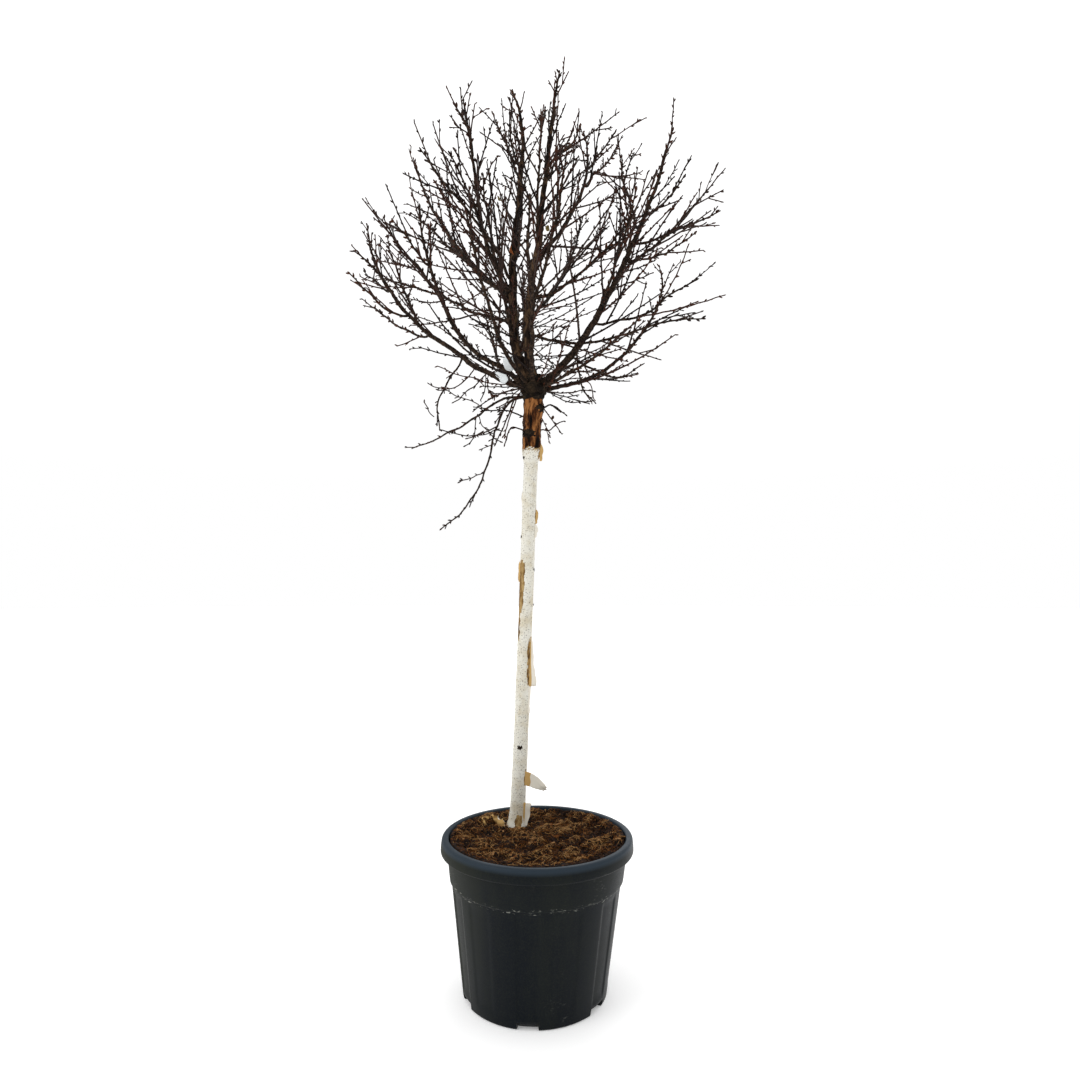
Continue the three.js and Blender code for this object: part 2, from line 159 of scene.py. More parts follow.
class Shell:
    """Gathers many small closed forms and makes one Blender mesh of them."""

    def __init__(self) -> None:
        """Starts empty."""
        self.points: list[Array] = []
        self.places: list[Array] = []
        self.faces: dict[int, list[Array]] = {3: [], 4: []}
        self.slots: dict[int, list[Array]] = {3: [], 4: []}
        self.count = 0

    def add(
        self,
        points: Array,
        quads: Array | None = None,
        triangles: Array | None = None,
        slot: int | Array = 0,
        places: Array | None = None,
    ) -> None:
        """Adds a form.

        Args:
            points: Its corners, n by 3.
            quads: Its four-sided faces, as corner numbers.
            triangles: Its three-sided faces, as corner numbers.
            slot: Material slot of all its faces, or one for each face where they are of one kind.
            places: Coordinates that its pattern follows, n by 3.
        """
        for sides, faces in ((4, quads), (3, triangles)):
            if faces is None or len(faces) == 0:
                continue
            self.faces[sides].append(np.asarray(faces) + self.count)
            self.slots[sides].append(np.broadcast_to(slot, len(faces)))
        self.points.append(points)
        self.places.append(points if places is None else places)
        self.count += len(points)

    def triangle_count(self) -> int:
        """How many triangles the mesh will have."""
        return 2 * sum(map(len, self.faces[4])) + sum(map(len, self.faces[3]))

    def build(self, name: str, materials: list[bpy.types.Material], smooth: bool = True) -> bpy.types.Object:
        """Makes the mesh object and lets it ride on the plant.

        Args:
            name: Name of the piece.
            materials: Its material slots.
            smooth: Whether its faces are smooth-shaded.

        Returns:
            The new object.
        """
        mesh = bpy.data.meshes.new(name)
        points = np.concatenate(self.points)
        mesh.vertices.add(len(points))
        mesh.vertices.foreach_set("co", points.astype(np.float32).ravel())
        groups = [(s, np.concatenate(f), np.concatenate(self.slots[s])) for s, f in self.faces.items() if f]
        corners = np.concatenate([f.ravel() for _, f, _ in groups])
        sizes = np.concatenate([np.full(len(f), s) for s, f, _ in groups])
        mesh.loops.add(len(corners))
        mesh.loops.foreach_set("vertex_index", corners.astype(np.int32))
        mesh.polygons.add(len(sizes))
        starts = np.concatenate([[0], np.cumsum(sizes)[:-1]])
        mesh.polygons.foreach_set("loop_start", starts.astype(np.int32))
        slots = np.concatenate([m for _, _, m in groups])
        mesh.polygons.foreach_set("material_index", slots.astype(np.int32))
        mesh.polygons.foreach_set("use_smooth", np.full(len(sizes), smooth))
        for material in materials:
            mesh.materials.append(material)
        layer = mesh.attributes.new("bark_place", "FLOAT_VECTOR", "POINT")
        layer.data.foreach_set("vector", np.concatenate(self.places).astype(np.float32).ravel())
        mesh.update(calc_edges=True)
        mesh.validate()
        piece = bpy.data.objects.new(name, mesh)
        bpy.context.scene.collection.objects.link(piece)
        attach(piece, ROOT)
        LOG.info("%s: %d triangles", name, self.triangle_count())
        return piece


def frames_along(points: Array) -> tuple[Array, Array, Array]:
    """Directions of a sweep: along the curve, and two that are square to it and to each other."""
    along = unit(np.gradient(points, axis=0))
    square = np.linalg.svd(along, full_matrices=False)[2][-1]
    across = unit(np.cross(along, square))
    return along, across, np.cross(along, across)


def spokes_round(points: Array, sides: int) -> Array:
    """Directions from a curve to the corners of the rings round it, n by sides by 3."""
    _, across, other = frames_along(points)
    angles = np.arange(sides) * TURN / sides
    return across[:, None] * np.cos(angles)[:, None] + other[:, None] * np.sin(angles)[:, None]


def ring_quads(rings: Array, sides: int) -> Array:
    """Quads between each numbered ring of corners and the ring after it."""
    ring, side = np.meshgrid(rings, np.arange(sides), indexing="ij")
    here, there = ring * sides + side, ring * sides + (side + 1) % sides
    return np.stack([here, there, there + sides, here + sides], -1).reshape(-1, 4)


def fan(middle: int, start: int, sides: int, turned: bool = False) -> Array:
    """Triangles that close a ring of corners.

    Args:
        middle: Number of the corner in its middle.
        start: Number of its first corner.
        sides: How many corners it has.
        turned: Whether the triangles face the other way.

    Returns:
        The triangles.
    """
    rim = np.arange(sides)
    pair = [rim + start, (rim + 1) % sides + start]
    if turned:
        pair.reverse()
    return np.stack([np.full(sides, middle), *pair], -1)


def closed_sheet(front: Array, back: Array) -> tuple[Array, Array]:
    """Closes a thin sheet round its edges.

    Args:
        front: Corners of its front, in rows and columns.
        back: The same corners of its back.

    Returns:
        Its corners, and its quads: the front's by rows, the back's by rows, then the edge's.
    """
    rows, columns = front.shape[:2]
    total = rows * columns
    row, column = np.meshgrid(np.arange(rows - 1), np.arange(columns - 1), indexing="ij")
    first = (row * columns + column).ravel()
    face = np.stack([first, first + 1, first + columns + 1, first + columns], -1)
    rim = np.concatenate(
        [
            np.arange(columns),
            np.arange(1, rows) * columns + columns - 1,
            (rows - 1) * columns + np.arange(columns - 2, -1, -1),
            np.arange(rows - 2, 0, -1) * columns,
        ]
    )
    following = np.roll(rim, -1)
    edge = np.stack([rim, rim + total, following + total, following], -1)
    corners = np.concatenate([front.reshape(-1, 3), back.reshape(-1, 3)])
    return corners, np.concatenate([face, face[:, ::-1] + total, edge])


def tube(points: Array, radii: Array, sides: int, relief: Array | None = None) -> tuple[Array, Array, Array]:
    """A closed tube along a curve.

    Args:
        points: The curve, n by 3.
        radii: A radius for each point.
        sides: Facets round the tube.
        relief: How far each ring point stands out from the tube, n by sides.

    Returns:
        Its corners, quads and end triangles.
    """
    reach = np.repeat(radii[:, None], sides, axis=1)
    if relief is not None:
        reach = reach + relief
    rings = points[:, None] + spokes_round(points, sides) * reach[..., None]
    corners = np.concatenate([rings.reshape(-1, 3), points[:1], points[-1:]])
    total = len(points) * sides
    ends = np.concatenate([fan(total, 0, sides, turned=True), fan(total + 1, total - sides, sides)])
    return corners, ring_quads(np.arange(len(points) - 1), sides), ends


def ring_places(distances: Array, radii: Array, sides: int, shift: float) -> Array:
    """Seamless pattern coordinates for a tube: round it in X and Y, and along it in Z."""
    angles = np.arange(sides) * TURN / sides
    x = radii[:, None] * np.cos(angles)
    y = radii[:, None] * np.sin(angles)
    z = np.repeat(distances[:, None] + shift, sides, axis=1)
    ends = np.array([[0.0, 0.0, distances[0] + shift], [0.0, 0.0, distances[-1] + shift]])
    return np.concatenate([np.stack([x, y, z], -1).reshape(-1, 3), ends])


# ---------------------------------------------------------------- materials


def linear(colour: str) -> tuple[float, float, float, float]:
    """An sRGB hex colour, such as "#3a2415", as linear red, green, blue and alpha."""
    parts = [int(colour[i : i + 2], 16) / 255.0 for i in (1, 3, 5)]
    return tuple(p / 12.92 if p <= 0.04045 else ((p + 0.055) / 1.055) ** 2.4 for p in parts) + (1.0,)


def add_node(
    tree: bpy.types.NodeTree,
    kind: str,
    settings: dict | None = None,
    links: dict | None = None,
) -> bpy.types.Node:
    """Adds a shader node.

    Args:
        tree: The material's node tree.
        kind: The node's Blender type.
        settings: Values for its sockets or, where it has no such socket, its properties. "stops" holds
            a colour ramp's places and hex colours.
        links: Output sockets to link to its inputs, by name or number.

    Returns:
        The new node.
    """
    node = tree.nodes.new(kind)
    for name, value in (settings or {}).items():
        if name == "stops":
            ramp = node.color_ramp
            while len(ramp.elements) < len(value):
                ramp.elements.new(0.5)
            for element, (place, colour) in zip(ramp.elements, value):
                element.position = place
                element.color = linear(colour)
        elif isinstance(name, int) or name in node.inputs:
            node.inputs[name].default_value = value
        else:
            setattr(node, name, value)
    for name, source in (links or {}).items():
        tree.links.new(source, node.inputs[name])
    return node


def new_material(name: str, shader: dict) -> tuple[bpy.types.Material, bpy.types.NodeTree, bpy.types.Node]:
    """An empty material with a Principled shader that holds the given constant values."""
    material = bpy.data.materials.new(name)
    material.use_nodes = True
    tree = material.node_tree
    tree.nodes.clear()
    principled = add_node(tree, "ShaderNodeBsdfPrincipled", shader)
    add_node(tree, "ShaderNodeOutputMaterial", links={"Surface": principled.outputs["BSDF"]})
    return material, tree, principled


@dataclass(frozen=True)
class WhiteBark:
    """Silver birch bark: papery cork layers that peel, chalk white with tan and dark cross-marks."""

    fresh: str = "#dfddd4"
    chalk: str = "#d6d3c7"
    cream: str = "#c7bea8"
    tan: str = "#a1835e"
    mark: str = "#463a31"
    lenticel_gap_mm: float = 4.8  # a lenticel is 2 to 4 mm wide and under 1 mm high, drawn 1.5 mm high
    roughness: float = 0.62

    def make(self) -> bpy.types.Material:
        """Builds the material."""
        shader = {"IOR": 1.45, "Specular IOR Level": 0.2}
        material, tree, principled = new_material("birch_bark_white", shader)
        place = add_node(tree, "ShaderNodeAttribute", {"attribute_name": "bark_place"}).outputs["Vector"]
        # Broad bands where the outer layer has weathered from chalk to cream.
        weather = add_node(
            tree,
            "ShaderNodeTexNoise",
            {"Scale": 28.0, "Detail": 5.0, "Roughness": 0.6},
            {"Vector": place},
        )
        base = add_node(
            tree,
            "ShaderNodeValToRGB",
            {"stops": [(0.33, self.cream), (0.52, self.chalk), (0.75, self.fresh)]},
            {"Fac": weather.outputs["Fac"]},
        )
        # Lenticels: cells pressed flat along the stem, so that each reads as a short level dash.
        flat = add_node(tree, "ShaderNodeMapping", {"Scale": (1.0, 1.0, 1.7)}, {"Vector": place})
        cells = add_node(
            tree,
            "ShaderNodeTexVoronoi",
            {"Scale": 1000.0 / self.lenticel_gap_mm, "Randomness": 1.0},
            {"Vector": flat.outputs["Vector"]},
        )
        dash = add_node(
            tree,
            "ShaderNodeMapRange",
            {"From Min": 0.16, "From Max": 0.4, "To Min": 1.0, "To Max": 0.0},
            {"Value": cells.outputs["Distance"]},
        )
        # Every cell carries one, as dark as its own chance, and a fifth of them are at their darkest.
        chance = add_node(tree, "ShaderNodeSeparateColor", links={"Color": cells.outputs["Color"]})
        some = add_node(
            tree,
            "ShaderNodeMapRange",
            {"From Min": 0.0, "From Max": 0.8, "To Max": 0.85},
            {"Value": chance.outputs["Red"]},
        )
        shown = add_node(
            tree,
            "ShaderNodeMath",
            {"operation": "MULTIPLY"},
            {0: dash.outputs["Result"], 1: some.outputs["Result"]},
        )
        marked = add_node(
            tree,
            "ShaderNodeMix",
            {"data_type": "RGBA", 7: linear(self.mark)},
            {0: shown.outputs["Value"], 6: base.outputs["Color"]},
        )
        # Fine tan flecks where the top layer has rubbed through.
        fleck = add_node(
            tree,
            "ShaderNodeTexNoise",
            {"Scale": 420.0, "Detail": 3.0},
            {"Vector": flat.outputs["Vector"]},
        )
        rubbed_and_highlight = add_node(
            tree,
            "ShaderNodeMapRange",
            {"From Min": 0.6, "From Max": 0.78, "To Max": 0.55},
            {"Value": fleck.outputs["Fac"]},
        )
        colour = add_node(
            tree,
            "ShaderNodeMix",
            {"data_type": "RGBA", 7: linear(self.tan)},
            {0: rubbed_and_highlight.outputs["Result"], 6: marked.outputs[2]},
        )
        tree.links.new(colour.outputs[2], principled.inputs["Base Color"])
        bump = add_node(
            tree,
            "ShaderNodeBump",
            {"Strength": 0.35, "Distance": 0.0006},
            {"Height": fleck.outputs["Fac"]},
        )
        raised = add_node(
            tree,
            "ShaderNodeBump",
            {"Strength": 0.5, "Distance": 0.0008},
            {"Height": shown.outputs["Value"], "Normal": bump.outputs["Normal"]},
        )
        tree.links.new(raised.outputs["Normal"], principled.inputs["Normal"])
        rough = add_node(
            tree,
            "ShaderNodeMapRange",
            {"To Min": self.roughness - 0.1, "To Max": self.roughness + 0.15},
            {"Value": weather.outputs["Fac"]},
        )
        tree.links.new(rough.outputs["Result"], principled.inputs["Roughness"])
        return material


@dataclass(frozen=True)
class Bark:
    """Young birch bark that has not turned white: smooth skin that splits into plates as it ages."""

    name: str
    # Groove and ridge colours are the bark's own tones, with painted shade in the grooves and a painted
    # highlight on the ridges.
    groove_and_shade: str
    skin: str
    ridge_and_highlight: str
    plate_mm: float  # distance between cracks or lenticels
    stretch: float  # how much longer the pattern is along the limb than round it; under 1 lies across
    roughness: float = 0.7
    relief: float = 0.6
    contrast: float = 0.14  # how near the middle of the pattern the groove colour, with its painted shade, and the ridge colour, with its painted highlight, lie

    def make(self) -> bpy.types.Material:
        """Builds the material."""
        shader = {"IOR": 1.45, "Specular IOR Level": 0.1}
        material, tree, principled = new_material(self.name, shader)
        place = add_node(tree, "ShaderNodeAttribute", {"attribute_name": "bark_place"}).outputs["Vector"]
        drawn = add_node(
            tree,
            "ShaderNodeMapping",
            {"Scale": (1.0, 1.0, 1.0 / self.stretch)},
            {"Vector": place},
        )
        plates = add_node(
            tree,
            "ShaderNodeTexNoise",
            {"Scale": 1000.0 / (self.plate_mm * 2.0), "Detail": 6.0, "Roughness": 0.65, "Distortion": 0.4},
            {"Vector": drawn.outputs["Vector"]},
        )
        # The colour follows the bump's height: the bark's own tone, darkened in the grooves as painted shade
        # and lightened on the ridges as a painted highlight.
        stops = [
            (0.5 - self.contrast, self.groove_and_shade),
            (0.5, self.skin),
            (0.5 + self.contrast, self.ridge_and_highlight),
        ]
        colour = add_node(tree, "ShaderNodeValToRGB", {"stops": stops}, {"Fac": plates.outputs["Fac"]})
        tree.links.new(colour.outputs["Color"], principled.inputs["Base Color"])
        bump = add_node(
            tree,
            "ShaderNodeBump",
            {"Strength": self.relief, "Distance": self.plate_mm * 0.35 * MM},
            {"Height": plates.outputs["Fac"]},
        )
        tree.links.new(bump.outputs["Normal"], principled.inputs["Normal"])
        rough = add_node(
            tree,
            "ShaderNodeMapRange",
            {"To Min": self.roughness + 0.15, "To Max": self.roughness - 0.12},
            {"Value": plates.outputs["Fac"]},
        )
        tree.links.new(rough.outputs["Result"], principled.inputs["Roughness"])
        return material


@dataclass(frozen=True)
class PlainGrowth:
    """A small natural thing in one plain colour, such as a twig's skin, a bud scale or a bark chip."""

    name: str
    colour: str
    roughness: float = 0.6
    grain_mm: float = 1.2
    relief: float = 0.25

    def make(self) -> bpy.types.Material:
        """Builds the material."""
        shader = {"Base Color": linear(self.colour), "IOR": 1.45, "Specular IOR Level": 0.1}
        material, tree, principled = new_material(self.name, shader)
        where = add_node(tree, "ShaderNodeTexCoord").outputs["Object"]
        scale = 1000.0 / (self.grain_mm * 2.0)
        grain = add_node(tree, "ShaderNodeTexNoise", {"Scale": scale}, {"Vector": where})
        bump = add_node(
            tree,
            "ShaderNodeBump",
            {"Strength": self.relief, "Distance": self.grain_mm * 0.3 * MM},
            {"Height": grain.outputs["Fac"]},
        )
        tree.links.new(bump.outputs["Normal"], principled.inputs["Normal"])
        rough = add_node(
            tree,
            "ShaderNodeMapRange",
            {"To Min": self.roughness - 0.12, "To Max": self.roughness + 0.12},
            {"Value": grain.outputs["Fac"]},
        )
        tree.links.new(rough.outputs["Result"], principled.inputs["Roughness"])
        return material


@dataclass(frozen=True)
class NurseryPlastic:
    """Recycled black polypropylene, injection-moulded: satin, with dust, water marks and scuffs, a painted
    highlight on the rim and painted light on its left side.
    """

    skin: str = "#020810"
    # dust, and the painted sheen of the lit left side, in one colour
    dust_and_sheen: str = "#21241c"
    rubbed_and_highlight: str = "#28323b"  # the rim's painted highlight, lighter and bluer than the skin
    scuff: str = "#7c7d75"
    roughness: float = 0.4
    highlight_from: float = 306 * MM  # height on the rim above which the painted highlight lies
    band_foot: float = 233 * MM  # height of the step to the smooth band, whose edge is scuffed
    scuffed_zone: float = 6 * MM  # how far above and below that step the scuffs lie

    def make(self) -> bpy.types.Material:
        """Builds the material."""
        shader = {"IOR": 1.49, "Specular IOR Level": 0.1}
        material, tree, principled = new_material("polypropylene_black", shader)
        place = add_node(tree, "ShaderNodeTexCoord").outputs["Object"]
        axes = add_node(tree, "ShaderNodeSeparateXYZ", links={"Vector": place})
        # Dust films are broad and hang down the wall, so their noise is stretched in Z.
        hung = add_node(tree, "ShaderNodeMapping", {"Scale": (1.0, 1.0, 0.28)}, {"Vector": place})
        # Scuffs are a few tenths of a millimetre wide in life and are drawn 1 mm wide to show.
        scored = add_node(
            tree,
            "ShaderNodeMapping",
            {"Scale": (0.35, 0.35, 1.0), "Rotation": (0.3, 0.2, 0.0)},
            {"Vector": place},
        )
        # Each noise's coordinates, its scale to a metre and its detail.
        noises = {}
        for name, vector, scale, detail in (
            ("film", hung.outputs["Vector"], 14.0, 8.0),
            ("grain", place, 400.0, 2.0),
            ("score", scored.outputs["Vector"], 330.0, 2.0),
            ("patch", place, 17.0, 4.0),
        ):
            settings = {"Scale": scale, "Detail": detail, "Roughness": 0.6}
            noise = add_node(tree, "ShaderNodeTexNoise", settings, {"Vector": vector})
            noises[name] = noise.outputs["Fac"]
        near_edge = add_node(
            tree,
            "ShaderNodeMath",
            {"operation": "COMPARE", 1: self.band_foot, 2: self.scuffed_zone},
            {0: axes.outputs["Z"]},
        )
        # Each mask's source, the values where it starts and ends, and its strength.
        masks = {}
        for name, source, first, last, strength in (
            ("veil", noises["film"], 0.45, 0.78, 0.4),
            ("band", axes.outputs["Z"], self.band_foot - 0.001, self.band_foot + 0.002, 0.12),
            # side: the left side painted lighter, partly dust and partly painted light where the lamps and
            # sheen fall
            ("side", axes.outputs["X"], -0.1, -0.18, 0.6),
            ("speck", noises["grain"], 0.45, 0.7, 0.4),
            # rim: the painted highlight along the rim's shoulder
            ("rim", axes.outputs["Z"], self.highlight_from, self.highlight_from + 0.008, 0.9),
            ("line", noises["score"], 0.58, 0.66, 0.8),
            ("sparse", noises["patch"], 0.6, 0.8, 0.5),
            ("rubs", noises["patch"], 0.4, 0.5, 1.0),
        ):
            settings = {"From Min": first, "From Max": last, "To Max": strength}
            masks[name] = add_node(tree, "ShaderNodeMapRange", settings, {"Value": source}).outputs["Result"]
        # The masks put together: where dust and the left side's painted light lie, and where there are
        # scratches.
        sums = {}
        for name, operation, one, other in (
            ("dust", "ADD", masks["veil"], masks["band"]),
            ("more", "ADD", "dust", masks["side"]),
            ("all", "ADD", "more", masks["speck"]),
            ("edge", "MULTIPLY", near_edge.outputs["Value"], masks["rubs"]),
            ("where", "MAXIMUM", "edge", masks["sparse"]),
            ("scratch", "MULTIPLY", "where", masks["line"]),
        ):
            links = {0: sums.get(one, one), 1: other}
            clamped = {"operation": operation, "use_clamp": True}
            sums[name] = add_node(tree, "ShaderNodeMath", clamped, links).outputs["Value"]
        # Over the skin go the dust with the left side's painted light, then the rim's painted highlight,
        # then the scuffs.
        under = {}
        for factor, tint in (
            (sums["all"], self.dust_and_sheen),
            (masks["rim"], self.rubbed_and_highlight),
            (sums["scratch"], self.scuff),
        ):
            settings = {"data_type": "RGBA", 6: linear(self.skin), 7: linear(tint)}
            colour = add_node(tree, "ShaderNodeMix", settings, {0: factor, **under}).outputs[2]
            under = {6: colour}
        tree.links.new(colour, principled.inputs["Base Color"])
        rough = add_node(
            tree,
            "ShaderNodeMapRange",
            {"To Min": self.roughness - 0.06, "To Max": self.roughness + 0.3},
            {"Value": sums["all"]},
        )
        tree.links.new(rough.outputs["Result"], principled.inputs["Roughness"])
        bump = add_node(
            tree,
            "ShaderNodeBump",
            {"Strength": 0.2, "Distance": 0.0006},
            {"Height": noises["grain"]},
        )
        tree.links.new(bump.outputs["Normal"], principled.inputs["Normal"])
        return material


@dataclass(frozen=True)
class Compost:
    """Moist peat and coir: crumbs 1 to 6 mm across, rusty on the crumbs, with painted shade in the hollows
    between them.
    """

    # hollow: near black, painted shade between the crumbs
    hollow: str = "#050201"
    crumb: str = "#1f1007"
    fibre: str = "#5c3a1e"
    crumb_mm: float = 4.0

    def make(self) -> bpy.types.Material:
        """Builds the material."""
        shader = {"IOR": 1.4, "Specular IOR Level": 0.2}
        material, tree, principled = new_material("compost_peat", shader)
        place = add_node(tree, "ShaderNodeTexCoord").outputs["Object"]
        crumbs = add_node(
            tree,
            "ShaderNodeTexNoise",
            {"Scale": 1000.0 / (self.crumb_mm * 2.0), "Detail": 9.0, "Roughness": 0.72, "Distortion": 0.6},
            {"Vector": place},
        )
        # The colour follows the bump's noise: painted shade in its hollows, the peat's own rusty colours on
        # the crumbs.
        colour = add_node(
            tree,
            "ShaderNodeValToRGB",
            {"stops": [(0.36, self.hollow), (0.52, self.crumb), (0.68, self.fibre)]},
            {"Fac": crumbs.outputs["Fac"]},
        )
        tree.links.new(colour.outputs["Color"], principled.inputs["Base Color"])
        bump = add_node(
            tree,
            "ShaderNodeBump",
            {"Strength": 0.9, "Distance": 0.003},
            {"Height": crumbs.outputs["Fac"]},
        )
        tree.links.new(bump.outputs["Normal"], principled.inputs["Normal"])
        rough = add_node(
            tree,
            "ShaderNodeMapRange",
            {"To Min": 0.8, "To Max": 1.0},
            {"Value": crumbs.outputs["Fac"]},
        )
        tree.links.new(rough.outputs["Result"], principled.inputs["Roughness"])
        return material


# ---------------------------------------------------------------- the frame's limbs


@dataclass
class Limb:
    """The centreline of a CAD limb, from where it leaves its parent to its tip."""

    name: str
    points: Array
    radii: Array


def read_limb(name: str) -> Limb:
    """Reads a limb's centreline and radii back from the rings of its CAD solid.

    The rings are found from the tip's cap, whose middle corner has even spokes, by stepping from ring
    to ring as far as the part that is cut to the limb's parent.

    Args:
        name: The CAD node.

    Returns:
        The limb, from base to tip.
    """
    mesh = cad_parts[name].data
    corners = np.empty(len(mesh.vertices) * 3)
    mesh.vertices.foreach_get("co", corners)
    spots, same = np.unique(np.round(corners.reshape(-1, 3) / 1e-6), axis=0, return_inverse=True)
    spots = spots * 1e-6
    same = same.ravel()
    edges = np.empty(len(mesh.edges) * 2, dtype=np.int32)
    mesh.edges.foreach_get("vertices", edges)
    near: list[set[int]] = [set() for _ in spots]
    for a, b in same[edges].reshape(-1, 2):
        if a != b:
            near[a].add(int(b))
            near[b].add(int(a))
    best, tip = 1e9, 0
    for corner, around in enumerate(near):
        spokes = np.linalg.norm(spots[list(around)] - spots[corner], axis=1)
        uneven = (spokes.max() - spokes.min()) / spokes.mean() - 0.001 * spots[corner][2]
        if len(around) >= 6 and uneven < best:
            best, tip = uneven, corner
    sides = len(near[tip])
    seen, ring = {tip}, {tip}
    centres, radii = [], []
    while True:
        ring = set().union(*(near[c] for c in ring)) - seen
        if len(ring) != sides:
            break
        seen |= ring
        around = spots[sorted(ring)]
        centres.append(around.mean(0))
        radii.append(float(np.linalg.norm(around - centres[-1], axis=1).mean()))
    rest = np.array([spots[c] for c in range(len(spots)) if c not in seen])
    if len(rest) > 1:
        centres.append(rest.mean(0))
        radii.append(radii[-1] * 1.05)
    return Limb(name, np.array(centres[::-1]), np.array(radii[::-1]))


@dataclass
class Skeleton:
    """All the limbs of the frame, each rooted on the centreline of the limb that it leaves."""

    step: float = 6 * MM  # between the places on a limb that others can be rooted on
    stem: Limb = field(init=False)
    limbs: list[Limb] = field(init=False)

    def __post_init__(self) -> None:
        """Reads the limbs and roots them."""
        self.stem = read_limb("stem")
        names = sorted(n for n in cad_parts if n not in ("stem", "pot", "soil"))
        self.limbs = [read_limb(name) for name in names]
        dense = {
            limb.name: resample(limb.points, limb.radii, self.step)[:2] for limb in [self.stem, *self.limbs]
        }
        for limb in self.limbs:
            gaps = {
                name: float((np.linalg.norm(points - limb.points[0], axis=1) - radii).min())
                for name, (points, radii) in dense.items()
                if name != limb.name
            }
            points, radii = dense[min(gaps, key=gaps.get)]
            nearest = int((np.linalg.norm(points - limb.points[0], axis=1) - radii).argmin())
            limb.points = np.vstack([points[nearest], limb.points])
            limb.radii = np.concatenate([[limb.radii[0]], limb.radii])


# ---------------------------------------------------------------- stem


@dataclass(frozen=True)
class Flap:
    """A piece of bark paper that has come off and hangs by one upright edge."""

    height: float  # of its upper end, above the soil
    drop: float  # its height at the edge that holds
    bearing: float  # of that edge, degrees
    width: float  # at its upper end
    taper: float  # width at its lower end, as a part of the width at its upper end
    curl: float  # how far it turns away from the stem: 0 lies along it, 90 stands straight out
    sag: float = 0.0  # how far its free edge hangs down
    point: float = 1.0  # height at its free edge, as a part of its drop
    tan_part: float = 0.0  # part of its width, next to the stem, that is tan on both faces
    roll: float = 0.0  # how far it has rolled up across its width, degrees


@dataclass(frozen=True)
class Peeled:
    """A place on the stem where the white layer is gone and the tan bark under it shows."""

    low: float
    high: float
    bearing: float
    spread: float  # half its width, degrees


@dataclass(frozen=True)
class Knot:
    """The black scar of a branch, with a raised lip."""

    height: float
    bearing: float
    radius: float
    stand: float = 0.4  # how far it stands out, as a part of its radius


class Layer(Enum):
    """Material slots of the stem."""

    WHITE = 0
    GRAFT = 1
    BLACK = 2
    TAN = 3


